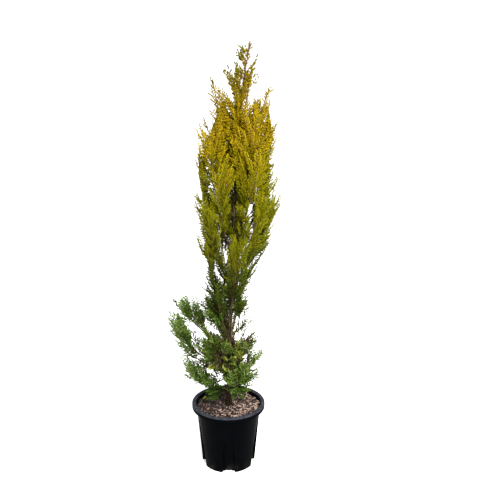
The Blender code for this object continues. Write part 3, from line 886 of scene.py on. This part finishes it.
def stem_end(limb):
    """The share of a limb at which its end sprays take over."""
    return 1 - END_SPRAY_SHARE * SPRAY_LENGTH / limb.length()


limb_rng = random.Random(LIMB_SEED)
limbs = [Limb(tier, number, limb_rng) for tier in TIERS for number in range(tier.limbs)]
bark_finish = bark()
trunk = bark_piece("trunk_bark", [trunk_tube([(limb.foot, limb.turn) for limb in limbs])], [bark_finish])
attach(trunk, "root")
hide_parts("trunk")

boughs = bark_piece("bough_bark", [limb_tube(limb, stem_end(limb)) for limb in limbs], [bark_finish])
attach(boughs, "root")
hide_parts(*["bough_" + limb.label for limb in limbs if limb.tier.bough])


# The foliage
# Soft scale leaves in pairs clothe short branchlets, which stand on both sides of feathery sprays. The
# sprays grow on twigs that turn round each limb. New growth is gold high up and fresh green low down.

GOLDEN_ANGLE = math.radians(137.508)
SHOOT_SPACING = 0.0056
BARE_MARGIN = 0.03
TIP_MARGIN = 0.01
TRIES = 8
CLOTHED_FROM = {"low": 0.08, "skirt": 0.14, "spread": 0.34, "middle": 0.26}
TWIG_SHARE_OF_STEM = 0.55
SHOOT_ANGLE_FOOT = math.radians(46)
SHOOT_ANGLE_TIP = {"tip": math.radians(50), "top": math.radians(36)}
USUAL_TIP_ANGLE = math.radians(27)
END_LEANS = (0.5, 1.5)
FULL_ENDED = ("low", "waist")
SIDE_SPRAY_ANGLE = math.radians(38)
SPRAY_HALF_WIDTH = 0.0095
SPRAY_POINTS = 5
SPRAY_CURL = 0.28
SPRAY_SIZES = (0.72, 1.06)
SPRAY_NARROWING = 0.6
SHORTENING = 0.85
SIDE_SPRAY_LENGTH = 0.85 * SPRAY_LENGTH
SIDE_SPRAYS = ((1, 0.35), (-1, 0.5), (1, 0.66), (-1, 0.82))
SPRAY_STEM_RADIUS = 0.00105
SPRAY_GAP = 0.0064
SPACE_MARGIN = -0.012
FULL_SPRAY_REACH = 0.105
SHORTEST_SPRAY = 0.42
SURE_LENGTH = 0.022
BOX_MARGIN = 0.002
TRUNK_MARGIN = 0.0025
LOWEST_LEAF = 0.266
SKIRT_TOP = 0.75
SKIRT_DEPTH = 0.06
FULLNESS = (
    (0.62, 0.35),
    (0.70, 0.72),
    (0.78, 0.98),
    (1.18, 0.95),
    (1.30, 0.85),
    (1.41, 0.55),
    (1.47, 0.42),
    (1.53, 0.30),
    (1.68, 0.22),
)
LEAF_EDGE = (
    (0.300, 0.122, 0.130),
    (0.345, 0.108, 0.130),
    (0.380, 0.146, 0.150),
    (0.415, 0.178, 0.120),
    (0.450, 0.215, 0.156),
    (0.490, 0.215, 0.104),
    (0.550, 0.238, 0.112),
    (0.590, 0.248, 0.075),
    (0.625, 0.252, 0.062),
    (0.675, 0.252, 0.070),
    (0.700, 0.215, 0.060),
    (0.725, 0.155, 0.044),
    (0.755, 0.118, 0.062),
    (0.850, 0.106, 0.106),
    (0.890, 0.106, 0.116),
    (0.945, 0.146, 0.148),
    (1.010, 0.136, 0.154),
    (1.080, 0.164, 0.176),
    (1.120, 0.158, 0.175),
    (1.170, 0.136, 0.176),
    (1.230, 0.144, 0.142),
    (1.290, 0.150, 0.144),
    (1.345, 0.176, 0.146),
    (1.410, 0.160, 0.138),
    (1.440, 0.144, 0.110),
    (1.475, 0.106, 0.108),
    (1.520, 0.148, 0.116),
    (1.550, 0.124, 0.056),
    (1.610, 0.072, 0.040),
    (1.680, 0.026, 0.010),
)

EYE_DISTANCE = 2.47
EYE_HEIGHT = 1.55
OPENING_MARGIN = -0.002
Opening = namedtuple("Opening", "x height long wide lean front", defaults=(False,))
OPENINGS = [Opening(*row) for row in (
    (0.080, 1.607, 0.030, 0.009, 33),
    (0.016, 1.590, 0.028, 0.012, -21),
    (-0.018, 1.541, 0.034, 0.024, -87),
    (0.112, 1.504, 0.042, 0.024, 70),
    (0.012, 1.498, 0.026, 0.013, -30),
    (0.076, 1.430, 0.017, 0.007, 18),
    (-0.056, 1.455, 0.034, 0.010, 4),
    (-0.069, 1.401, 0.046, 0.021, 14),
    (-0.104, 1.329, 0.014, 0.006, -26),
    (-0.058, 1.157, 0.016, 0.008, 0),
    (-0.005, 1.145, 0.022, 0.006, 0),
    (0.113, 1.145, 0.016, 0.007, 0),
    (0.084, 1.064, 0.022, 0.010, 30),
    (0.048, 1.024, 0.010, 0.007, 0),
    (0.094, 1.003, 0.014, 0.007, 20),
    (-0.012, 0.912, 0.026, 0.010, -16),
    (0.097, 0.860, 0.040, 0.009, 37),
    (-0.041, 0.808, 0.020, 0.009, -12),
    (0.040, 0.787, 0.009, 0.006, 0),
    (-0.146, 0.700, 0.024, 0.012, -66),
    (-0.206, 0.664, 0.018, 0.011, -35),
    (0.088, 0.660, 0.012, 0.010, 0),
    (0.050, 0.630, 0.024, 0.022, 0),
    (0.035, 0.611, 0.013, 0.010, 50),
    (-0.066, 0.584, 0.037, 0.017, -57),
    (-0.134, 0.582, 0.058, 0.023, -42),
    (-0.033, 0.556, 0.016, 0.009, -20),
    (0.058, 0.556, 0.036, 0.014, 87),
    (0.116, 0.492, 0.022, 0.012, 90),
    (0.114, 0.420, 0.024, 0.011, 90),
    (-0.065, 0.516, 0.011, 0.009, 0),
    (-0.119, 0.470, 0.021, 0.012, 72),
    (-0.139, 0.448, 0.015, 0.008, -46),
    (0.072, 0.463, 0.024, 0.010, 8),
    (-0.040, 0.388, 0.012, 0.009, 0),
    (0.097, 0.347, 0.018, 0.008, -75),
    (0.040, 0.349, 0.014, 0.008, -85),
    (0.024, 1.085, 0.085, 0.015, 0, True),
    (0.006, 0.615, 0.085, 0.018, 0, True),
    (0.000, 0.272, 0.048, 0.013, 0, True),
)]

Spray = namedtuple("Spray", "path across order share")
Twig = namedtuple("Twig", "path radius")


def fullness(tier, height):
    """The share of shoots that grow: the column thins out at its top, and at its foot over the skirt."""
    if tier.slot == "foliage_green":
        return 1.0
    heights, shares = zip(*FULLNESS)
    return float(np.interp(height, heights, shares))


def in_opening(points):
    """Whether an eye in front sees any point where the crown is open, or open before the trunk."""
    nearer = EYE_DISTANCE / (EYE_DISTANCE + points[:, 1])
    across = points[:, 0] * nearer
    up = EYE_HEIGHT + (points[:, 2] - EYE_HEIGHT) * nearer
    for opening in OPENINGS:
        lean = math.radians(opening.lean)
        right = across - opening.x
        above = up - opening.height
        along = (right * math.sin(lean) + above * math.cos(lean)) / (opening.long + OPENING_MARGIN)
        beside = (right * math.cos(lean) - above * math.sin(lean)) / (opening.wide + OPENING_MARGIN)
        inside = along ** 2 + beside ** 2 < 1
        if opening.front:
            inside &= points[:, 1] < 0
        if inside.any():
            return True
    return False


def from_trunk(point):
    """The way to a point from the heart of the trunk, level with it as far up as the trunk goes."""
    return Vector(point) - trunk_centre(min(point[2], TRUNK_TOP))


class Space:
    """Keeps each mass of foliage to the room nearest its own limb, clear of trunk and pot."""

    def __init__(self, limbs):
        shares = np.linspace(0.02, 1.0, 24)
        self.spots = np.array([[limb.at(share) for share in shares] for limb in limbs])
        self.low = np.array(cad_box[0]) + BOX_MARGIN
        self.high = np.array(cad_box[1]) - BOX_MARGIN

    def contains(self, points):
        """Whether every point is inside the plant's box and the leaves' own edge."""
        points = np.array(points)
        if (points < self.low).any() or (points > self.high).any() or (points[:, 2] < LOWEST_LEAF).any():
            return False
        for point in points:
            out = from_trunk(point)
            turn = math.atan2(out.y, out.x)
            edge = outline_reach(min(point[2], TRUNK_TOP), turn, LEAF_EDGE)
            if point[2] < SKIRT_TOP:
                edge *= 1 + SKIRT_DEPTH * abs(math.sin(turn))
            if out.length > edge:
                return False
        return True

    def holds(self, points, owner):
        if not self.contains(points):
            return False
        points = np.array(points)
        if in_opening(points):
            return False
        if owner is not None:
            gaps = np.linalg.norm(self.spots[None] - points[:, None, None], axis=3).min(axis=2)
            own = gaps[:, owner]
            others = np.delete(gaps, owner, axis=1).min(axis=1)
            if (own + SPACE_MARGIN > others).any():
                return False
        for point in points:
            if from_trunk(point).length < trunk_radius(min(point[2], TRUNK_TOP)) + TRUNK_MARGIN:
                return False
        return True


def sideways(heading, turn):
    """A direction square to the heading, turned round it."""
    level = heading.cross(Vector((0, 0, 1)))
    if level.length < 0.05:
        level = heading.cross(Vector((0, 1, 0)))
    level.normalize()
    return (Matrix.Rotation(turn, 3, heading) @ level).normalized()


def leaning(heading, turn, angle):
    """A direction at an angle to the heading, on the side that the turn gives."""
    return (heading * math.cos(angle) + sideways(heading, turn) * math.sin(angle)).normalized()


class Mass:
    """One mass of foliage as it grows: the paths of its twigs and sprays."""

    def __init__(self, limb, owner, space):
        self.limb = limb
        self.owner = owner
        self.space = space
        self.rng = random.Random(limb.seed)
        self.sprays = []
        self.twigs = []
        self.spots = []

    def spray_path(self, root, heading, length):
        path = []
        for step in range(SPRAY_POINTS):
            along = step / (SPRAY_POINTS - 1)
            curl = Vector((0, 0, SPRAY_CURL * length * along ** 2))
            path.append(root + heading * length * along + curl)
        return path

    def spray(self, root, heading, length, roll, order, share, sure=False):
        """Grow a spray whose tip curls up, if it is sure to grow, or has room and a gap all round it."""
        width = outline_reach(root.z + length / 2, math.atan2(root.y, root.x)) / FULL_SPRAY_REACH
        length *= self.rng.uniform(*SPRAY_SIZES) * min(max(width, SHORTEST_SPRAY), 1)
        path = self.spray_path(root, heading, length)
        while sure and length > SURE_LENGTH and not self.space.contains(path[2:]):
            length *= SHORTENING
            path = self.spray_path(root, heading, length)
        across = sideways(heading, roll)
        wide = across * SPRAY_HALF_WIDTH
        spots = path[2:]
        narrow = wide * SPRAY_NARROWING
        outer = [*spots, path[2] + wide, path[2] - wide, path[3] + narrow, path[3] - narrow]
        if not sure:
            if any((spot - other).length < SPRAY_GAP for spot in spots for other in self.spots):
                return False
            if not self.space.holds(outer, self.owner):
                return False
        self.spots += spots
        self.sprays.append(Spray(path, across, order, share))
        return True

    def twig(self, root, heading, length, radius, roll, share):
        """Grow a twig with a spray at its end and up to two on each side."""
        end = root + heading * length
        if not self.spray(end, heading, SPRAY_LENGTH, roll, 1, share):
            return False
        self.twigs.append(Twig([root, root.lerp(end, 0.5), end], radius))
        for side, place in SIDE_SPRAYS:
            lean = leaning(heading, roll + math.pi / 2, SIDE_SPRAY_ANGLE * side)
            self.spray(root + heading * length * place, lean, SIDE_SPRAY_LENGTH, roll, 2, share)
        return True


def shoot_length(limb, share):
    """Side shoots are longest a third of the way up a stem, and short at its tip."""
    return limb.tier.twig * (0.45 + 0.55 * math.cos(1.5 * (share - 0.35)) - 0.35 * share)


def grow_mass(limb, owner, space):
    """End sprays, then shoots and twigs in turn along one limb, varied by the limb's own seed."""
    mass = Mass(limb, owner, space)
    rng = mass.rng
    last = stem_end(limb)
    tip = limb.at(last)
    out = from_trunk(tip)
    out.z = 0
    for lean in END_LEANS:
        heading = (limb.heading(last) + out.normalized() * lean).normalized()
        sure = lean == END_LEANS[0] or limb.tier.name in FULL_ENDED
        mass.spray(tip, heading, SPRAY_LENGTH, 0.0, 0, 1.0, sure)
    turn = rng.uniform(0, math.tau)
    tip_angle = SHOOT_ANGLE_TIP.get(limb.tier.name, USUAL_TIP_ANGLE)
    first = CLOTHED_FROM.get(limb.tier.name, limb.tier.bare + BARE_MARGIN)
    shoots = round(limb.length() * (last - first) / SHOOT_SPACING)
    for number in range(shoots):
        step = (number + rng.uniform(0.3, 0.7)) / shoots
        share = first + (last - TIP_MARGIN - first) * step
        along = limb.heading(share)
        angle = SHOOT_ANGLE_FOOT + (tip_angle - SHOOT_ANGLE_FOOT) * step
        root = limb.at(share)
        length = shoot_length(limb, step) * rng.uniform(0.7, 1.1)
        if rng.random() > fullness(limb.tier, root.z + length):
            continue
        for _ in range(TRIES):
            turn += GOLDEN_ANGLE
            heading = leaning(along, turn, angle)
            if number % 2:
                grown = mass.spray(root, heading, SPRAY_LENGTH, turn, 1, step)
            else:
                radius = limb.radius(share) * TWIG_SHARE_OF_STEM
                grown = mass.twig(root, heading, length, radius, turn, step)
            if grown:
                break
    return mass


BRANCHLET_SPACING = {"low": 0.0070, "skirt": 0.0070, "spread": 0.0068, "top": 0.0062, "tip": 0.0110}
USUAL_SPACING = 0.0055
BRANCHLET_SIZE = {"low": 1.03, "skirt": 1.03, "spread": 1.03, "top": 1.12, "tip": 1.25}
BRANCHLET_LENGTH = {"low": 1.2, "skirt": 1.2, "spread": 1.2, "tip": 0.75}
BRANCHLET_TAPER = {"top": 0.6, "tip": 0.4, "low": 0.6, "skirt": 0.6, "spread": 0.6}
USUAL_TAPER = 0.75
BRANCHLET_ANGLE = math.radians(40)
BRANCHLET_LEVELS = (1, 2, 4, 7)
LEAF_LENGTH = 0.0064
LEAF_WIDTH = 0.0040
LEAF_FOLD = 0.0005
LEAF_STEP = 0.0025
LEAF_LEAN = math.radians(27)
END_LEAF_LEAN = math.radians(9)
LEAF_SHOULDER = 0.42
SPRAY_SHOULDER = 0.36
RUFFLE = 0.45
TIPWARD = 0.985

LEAF_TONES = (
    # tangle_green is dealt to the lit sprays of the tangle, as a painted highlight.
    ("tangle_green", 0.10, (0.068, 0.082, 0.012), (0.140, 0.170, 0.024), (0.245, 0.284, 0.052)),
    ("fresh_green", 0.30, (0.026, 0.054, 0.008), (0.056, 0.102, 0.015), (0.116, 0.170, 0.040)),
    ("green", 0.52, (0.024, 0.052, 0.007), (0.050, 0.095, 0.013), (0.104, 0.160, 0.035)),
    ("deep_green", 0.74, (0.010, 0.019, 0.002), (0.019, 0.031, 0.003), (0.040, 0.060, 0.006)),
    ("olive_green", 0.86, (0.025, 0.034, 0.001), (0.038, 0.049, 0.002), (0.056, 0.069, 0.004)),
    ("deep_lime", 1.00, (0.078, 0.081, 0.001), (0.096, 0.100, 0.001), (0.112, 0.116, 0.003)),
    ("lime", 1.15, (0.104, 0.102, 0.001), (0.124, 0.122, 0.001), (0.146, 0.145, 0.003)),
    ("yellow_lime", 1.26, (0.205, 0.168, 0.001), (0.180, 0.149, 0.001), (0.184, 0.153, 0.003)),
    ("gold", 1.38, (0.285, 0.200, 0.001), (0.262, 0.186, 0.002), (0.248, 0.180, 0.005)),
    ("old_gold", 1.50, (0.200, 0.140, 0.001), (0.205, 0.145, 0.002), (0.145, 0.118, 0.003)),
    ("bronze", 1.62, (0.130, 0.090, 0.002), (0.112, 0.092, 0.002), (0.078, 0.080, 0.003)),
)
ZONES = ("shaded", "open", "tip")
TONE_SPREAD = 0.3
SUNNY_SHIFT = 0.3
NEW_GROWTH = {"waist": 1.4}
USUAL_GROWTH = 0.5
FRESH_TONE = 2.0
FRESH_REACH = (0.07, 0.15)
INNER_SHADE = 0.35
FOOT_SHADE = ((0.30, 0.40), (0.9, 0.0))
WITHERED = (0.050, 0.031, 0.022)
TANGLE_HEIGHTS = (0.36, 0.57)
TANGLE_LIGHT = 1.00
WITHERED_SHARES = (0.35, 0.80)
LIT_TANGLE_TONE = 0.0
LIT_TANGLE_SHARE = 0.40
TWIG_BROWN = (0.036, 0.021, 0.009)
STEM_OLIVE = (0.064, 0.054, 0.008)
STEM_GOLD = (0.170, 0.100, 0.016)
OLIVE_FROM = 0.80
GOLDEN_FROM = 1.29
GOLDEN_STEM_GIRTH = 1.35
TWIG_TAPER = (1.0, 0.85, 0.7)
STEM_TAPER = 0.10
STEM_SIDES = 3


def leaf_finishes():
    """A plain finish for each tone in each zone, by its number."""
    made = {}
    for tone, (name, _, *colours) in enumerate(LEAF_TONES):
        for number, (zone, colour) in enumerate(zip(ZONES, colours)):
            leaf = Finish(f"{name}_{zone}", colour, roughness=0.7, specular=0.03)
            made[tone * len(ZONES) + number] = leaf.material
    made[-1] = Finish("leaf_withered", WITHERED, roughness=0.85, specular=0.1).material
    return made


def branchlet_shape(name, levels):
    """A shoot clothed in crossed pairs of pointed leaves along +Z, each leaf folded on its midrib."""
    corners = []
    faces = []
    for level in range(levels + 1):
        base = LEAF_STEP * level
        lean = END_LEAF_LEAN if level == levels else LEAF_LEAN
        length = LEAF_LENGTH * (0.8 + 0.35 * math.sin(math.pi * (level + 1) / (levels + 1)))
        for hand in (1, -1):
            turn = math.pi / 2 * (level % 2) + (math.pi if hand < 0 else 0)
            out = Vector((math.cos(turn), math.sin(turn), 0))
            beside = Vector((-out.y, out.x, 0)) * LEAF_WIDTH / 2
            foot = Vector((0, 0, base))
            blade = (out * math.sin(lean) + Vector((0, 0, math.cos(lean)))) * length
            middle = foot + blade * LEAF_SHOULDER - out * LEAF_FOLD
            first = len(corners)
            corners += [tuple(spot) for spot in (foot, middle + beside, foot + blade, middle - beside)]
            faces += [(first, first + 1, first + 2), (first, first + 2, first + 3)]
    return new_piece(name, corners, faces, [], linked=False)


def branchlet_tree(name, shapes, materials):
    """Branchlets on both sides of each spray's stem, long at its shoulder and short at its tip."""
    numbers = ("Spacing", "Size", "Length", "Angle", "Shoulder", "Taper", "Ruffle")
    nodes, entry = tree_with_inputs(name, numbers, "Seed")
    seed = entry.other("Seed")
    stems = nodes.add("GeometryNodeMeshToCurve", inputs={"Mesh": entry})
    cut = {"Curve": stems, "Length": entry.other("Spacing")}
    stems = nodes.add("GeometryNodeResampleCurve", {"mode": "LENGTH"}, cut)
    tangent = nodes.add("GeometryNodeInputTangent")
    along = nodes.add("GeometryNodeSplineParameter", output="Factor")
    index = nodes.add("GeometryNodeInputIndex")
    side = nodes.maths("MODULO", index, 2.0) * 2 - 1

    twist = random_number(nodes, -1.0, 1.0, seed) * entry.other("Ruffle")
    about = nodes.add("FunctionNodeAxisAngleToRotation", inputs={"Axis": tangent, "Angle": twist})
    across = {0: read(nodes, "across", "FLOAT_VECTOR"), 1: about}
    across = nodes.add("FunctionNodeRotateVector", inputs=across)
    open_angle = entry.other("Angle") * random_number(nodes, 0.75, 1.2, seed + 1)
    open_angle = open_angle * (1 - nodes.maths("GREATER_THAN", along, TIPWARD))
    out = {0: across, "Scale": nodes.maths("SINE", open_angle) * side}
    ahead = {0: tangent, "Scale": nodes.maths("COSINE", open_angle)}
    ways = [nodes.add("ShaderNodeVectorMath", {"operation": "SCALE"}, way) for way in (out, ahead)]
    heading = nodes.add("ShaderNodeVectorMath", {"operation": "ADD"}, dict(enumerate(ways)))
    aligned = nodes.add("FunctionNodeAlignRotationToVector", {"axis": "Z"}, {"Vector": heading})
    spin = {"Axis": (0, 0, 1), "Angle": random_number(nodes, 0.0, math.tau, seed + 2)}
    spin = nodes.add("FunctionNodeAxisAngleToRotation", inputs=spin)
    turned = {"Rotation": aligned, "Rotate By": spin}
    rotation = nodes.add("FunctionNodeRotateRotation", {"rotation_space": "LOCAL"}, turned)

    shoulder = entry.other("Shoulder")
    rising = nodes.maths("DIVIDE", along, shoulder) * 0.45 + 0.55
    taper = entry.other("Taper")
    falling = nodes.maths("DIVIDE", 1 - along, 1 - shoulder) * taper + (1 - taper)
    length = nodes.maths("MINIMUM", rising, falling) * random_number(nodes, 0.7, 1.15, seed + 3)
    length = length * entry.other("Length")
    longest = len(BRANCHLET_LEVELS) - 1
    pick = nodes.clamped(nodes.maths("ROUND", length * longest), longest)

    tone = read(nodes, "tone") + random_number(nodes, -0.25, 0.25, seed + 4)
    tone = nodes.clamped(nodes.maths("ROUND", tone), len(LEAF_TONES) - 1)
    zone = read(nodes, "light") + 0.5 * along + random_number(nodes, -0.25, 0.25, seed + 5)
    zone = nodes.clamped(nodes.maths("ROUND", zone), len(ZONES) - 1)
    finish = tone * len(ZONES) + zone
    chance = random_number(nodes, 0.2, 0.8, seed + 6)
    withered = nodes.maths("GREATER_THAN", read(nodes, "withered"), chance)
    finish = finish * (1 - withered) - withered

    stems = stored(nodes, stems, "finish", finish, "POINT")
    size = entry.other("Size") * random_number(nodes, 0.88, 1.12, seed + 7)
    made = instances(nodes, stems, shapes, pick, rotation, size)
    return finished(nodes, made, "finish", materials)


def stem_tree(name, materials):
    """A thin tube along each path, as thick as its radius says, in the bark or stem finish."""
    nodes, entry = tree_with_inputs(name, (), "Sides")
    paths = nodes.add("GeometryNodeMeshToCurve", inputs={"Mesh": entry})
    circle = {"Resolution": entry.other("Sides"), "Radius": 1.0}
    circle = nodes.add("GeometryNodeCurvePrimitiveCircle", inputs=circle)
    swept = {"Curve": paths, "Profile Curve": circle, "Scale": read(nodes, "radius"), "Fill Caps": True}
    made = nodes.add("GeometryNodeCurveToMesh", inputs=swept)
    made = nodes.add("GeometryNodeSetShadeSmooth", inputs={0: made, "Shade Smooth": True})
    return finished(nodes, made, "finish", materials)


def path_mesh(name, paths, attributes):
    """Paths as loose edges. Attributes are lists with a value for each point."""
    corners = [tuple(point) for path in paths for point in path]
    edges = []
    first = 0
    for path in paths:
        edges += [(first + step, first + step + 1) for step in range(len(path) - 1)]
        first += len(path)
    mesh = bpy.data.meshes.new(name)
    mesh.from_pydata(corners, edges, [])
    for attribute, values in attributes.items():
        vector = isinstance(values[0], Vector)
        layer = mesh.attributes.new(attribute, "FLOAT_VECTOR" if vector else "FLOAT", "POINT")
        flat = [part for value in values for part in value] if vector else values
        layer.data.foreach_set("vector" if vector else "value", flat)
    return in_scene(name, mesh)


def off_trunk(point):
    """How far a point lies from the trunk, and in which direction."""
    out = from_trunk(point)
    return math.hypot(out.x, out.y), math.atan2(out.y, out.x)


def tone_at(point, tier):
    """The number of the tone at a point. Away from the trunk, the skirt is a fresher green."""
    heights = [tone[1] for tone in LEAF_TONES]
    tone = float(np.interp(point.z, heights, range(len(heights))))
    if tier.slot != "foliage_green":
        return tone
    return float(np.interp(off_trunk(point)[0], FRESH_REACH, (tone, min(tone, FRESH_TONE))))


def light_at(point):
    """From 0 deep in the crown to 2 at its outline."""
    reach = outline_reach(point.z, math.atan2(point.y, point.x))
    return 2.0 * min(off_trunk(point)[0] / reach, 1.0) ** 1.2


def spray_attributes(sprays, tier, rng):
    """For each point of the sprays: the way they spread, their tone and light, and how withered."""
    values = {"across": [], "tone": [], "light": [], "withered": []}
    for spray in sprays:
        root = spray.path[0]
        shift = rng.gauss(0, TONE_SPREAD) - SUNNY_SHIFT * math.sin(off_trunk(root)[1])
        shift += NEW_GROWTH.get(tier.name, USUAL_GROWTH) * (spray.share - 0.5)
        low = TANGLE_HEIGHTS[0] < root.z < TANGLE_HEIGHTS[1]
        tangled = low and light_at(root) < TANGLE_LIGHT
        lit = tangled and rng.random() < LIT_TANGLE_SHARE
        withered = rng.uniform(*WITHERED_SHARES) if tangled and not lit else 0.0
        for point in spray.path:
            shade = INNER_SHADE + float(np.interp(point.z, *FOOT_SHADE))
            values["across"].append(spray.across)
            values["tone"].append(LIT_TANGLE_TONE if lit else tone_at(point, tier) + shift)
            values["light"].append(light_at(point) - shade)
            values["withered"].append(withered)
    return values


def stem_attributes(masses):
    """The twigs' and spray stems' radii along their paths, and their finishes: bark, young or golden."""
    paths = []
    radii = []
    finishes = []
    for mass in masses:
        for twig in mass.twigs:
            paths.append(twig.path)
            radii += [twig.radius * share for share in TWIG_TAPER]
            foot = twig.path[0].z
            finishes += [float((foot > OLIVE_FROM) + (foot > GOLDEN_FROM))] * len(TWIG_TAPER)
        for spray in mass.sprays:
            foot = spray.path[0].z
            golden = foot > GOLDEN_FROM
            girth = GOLDEN_STEM_GIRTH if golden else 1.0
            paths.append(spray.path)
            radii += [SPRAY_STEM_RADIUS * girth * (1 - STEM_TAPER * step) for step in range(SPRAY_POINTS)]
            young = 0.0 if spray.order == 2 and foot < OLIVE_FROM else 1.0
            finishes += [2.0 if golden else young] * SPRAY_POINTS
    return paths, {"radius": radii, "finish": finishes}


class TrunkStretch(namedtuple("TrunkStretch", "tier foot top shoots angle twig")):
    """A stretch of the trunk with shoots of its own, whose leaves go with those of a tier."""

    seed = 0.5

    def at(self, share):
        return trunk_centre(self.foot + (self.top - self.foot) * share)

    def heading(self, share):
        return (self.at(share + 0.02) - self.at(share - 0.02)).normalized()


STRETCHES = (
    TrunkStretch("tip", 1.440, TRUNK_TOP, 30, 60, 0),
    TrunkStretch("top", 1.130, 1.345, 44, 36, 0.040),
    TrunkStretch("middle", 0.920, 1.130, 26, 36, 0.040),
    TrunkStretch("low", 0.320, 0.545, 34, 58, 0.050),
)
TRUNK_SHOOT_RADIUS = 0.0011
LEADER_SPRAY = 0.110
LEADER_TIP_SPRAY = 0.026
LEADER_TIP_SHARE = 0.93


def grow_on_trunk(stretch, space):
    """Shoots that turn round a stretch of the trunk: twigs, or long sprays where it has none."""
    mass = Mass(stretch, None, space)
    rng = mass.rng
    turn = 0.0
    for number in range(stretch.shoots):
        share = (number + rng.uniform(0.2, 0.8)) / stretch.shoots
        root = stretch.at(share)
        angle = math.radians(stretch.angle) * rng.uniform(0.8, 1.2)
        for _ in range(TRIES):
            turn += GOLDEN_ANGLE
            heading = leaning(stretch.heading(share), turn, angle)
            if stretch.twig:
                length = stretch.twig * rng.uniform(0.6, 1.2)
                grown = mass.twig(root, heading, length, TRUNK_SHOOT_RADIUS, turn, share)
            else:
                grown = mass.spray(root, heading, LEADER_SPRAY, turn, 1, share)
            if grown:
                break
    return mass


space = Space(limbs)
masses = [grow_mass(limb, owner, space) for owner, limb in enumerate(limbs)]
on_trunk = {stretch.tier: grow_on_trunk(stretch, space) for stretch in STRETCHES}
tip = (STRETCHES[0].at(LEADER_TIP_SHARE), STRETCHES[0].heading(LEADER_TIP_SHARE))
on_trunk["tip"].spray(*tip, LEADER_TIP_SPRAY, 0.0, 1, 1.0, sure=True)

leaf_materials = leaf_finishes()
stem_materials = {
    0: Finish("twig_bark", TWIG_BROWN, roughness=0.8, specular=0.06).material,
    1: Finish("young_stem", STEM_OLIVE, roughness=0.65, specular=0.06).material,
    2: Finish("golden_stem", STEM_GOLD, roughness=0.65, specular=0.06).material,
}
branchlets = bpy.data.collections.new("branchlets")
for number, levels in enumerate(BRANCHLET_LEVELS):
    branchlets.objects.link(branchlet_shape(f"branchlet_{number + 1}", levels))
leaf_tree = branchlet_tree("branchlets_on_sprays", branchlets, leaf_materials)
tube_tree = stem_tree("stems", stem_materials)

for order, tier in enumerate(TIERS):
    grown = [mass for mass in masses if mass.limb.tier is tier]
    clothed = grown + [on_trunk[tier.name]] if tier.name in on_trunk else grown
    sprays = [spray for mass in clothed for spray in mass.sprays]
    attributes = spray_attributes(sprays, tier, random.Random(order))
    leaves = path_mesh("leaves_" + tier.name, [spray.path for spray in sprays], attributes)
    run_tree(leaves, leaf_tree, {
        "Spacing": BRANCHLET_SPACING.get(tier.name, USUAL_SPACING),
        "Size": BRANCHLET_SIZE.get(tier.name, 1.0),
        "Length": BRANCHLET_LENGTH.get(tier.name, 1.0),
        "Taper": BRANCHLET_TAPER.get(tier.name, USUAL_TAPER),
        "Angle": BRANCHLET_ANGLE, "Shoulder": SPRAY_SHOULDER, "Ruffle": RUFFLE, "Seed": order,
    })
    paths, attributes = stem_attributes(clothed)
    twigs = path_mesh("twigs_" + tier.name, paths, attributes)
    run_tree(twigs, tube_tree, {"Sides": STEM_SIDES})
    for piece in (leaves, twigs):
        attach(piece, "root")
    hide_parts(*["foliage_" + mass.limb.label for mass in grown])
discard(branchlets)


# The place
# The plant stands free on a plain pale floor, in the soft light of a studio: a large warm lamp in
# front on the right, a weak one on the left, and a white surround. The camera looks down a little.

CAMERA_PLACE = (0.0, -2.4734, 1.55)
CAMERA_TILT = math.radians(13.674)
CAMERA_TURN = math.radians(-1.104)
CAMERA_LENS = 49.154
FLOOR_SIZE = 30.0


def pale_floor():
    finish = Finish("pale_floor", roughness=0.95, specular=0.1)
    finish.set("Base Color", finish.mixed(finish.noise(3), (0.94, 0.94, 0.94), (0.96, 0.96, 0.96)))
    return finish.material


half = FLOOR_SIZE / 2
corners = [(-half, -half, 0), (half, -half, 0), (half, half, 0), (-half, half, 0)]
floor = new_piece("floor", corners, [(0, 1, 2, 3)], [pale_floor()])

camera = in_scene("camera", bpy.data.cameras.new("camera"))
camera.location = CAMERA_PLACE
camera.rotation_euler = (math.pi / 2 - CAMERA_TILT, 0, CAMERA_TURN)
camera.data.lens = CAMERA_LENS
bpy.context.scene.camera = camera


def soft_light(name, place, target, size, power, colour=(1, 1, 1)):
    lamp = bpy.data.lights.new(name, "AREA")
    lamp.shape = "DISK"
    lamp.size = size
    lamp.energy = power
    lamp.color = colour
    made = in_scene(name, lamp)
    made.location = place
    made.rotation_euler = (Vector(target) - Vector(place)).to_track_quat("-Z", "Y").to_euler()


soft_light("key", (0.9, -3.2, 3.1), (0, 0, 0.8), 1.2, 430, (1.0, 0.97, 0.92))
soft_light("fill", (-2.6, -1.8, 1.8), (0, 0, 0.9), 2.0, 25)

world = bpy.data.worlds.new("studio")
world.use_nodes = True
world.node_tree.nodes["Background"].inputs["Color"].default_value = (1, 1, 1, 1)
world.node_tree.nodes["Background"].inputs["Strength"].default_value = 1.5
bpy.context.scene.world = world
bpy.context.scene.view_settings.view_transform = "Standard"
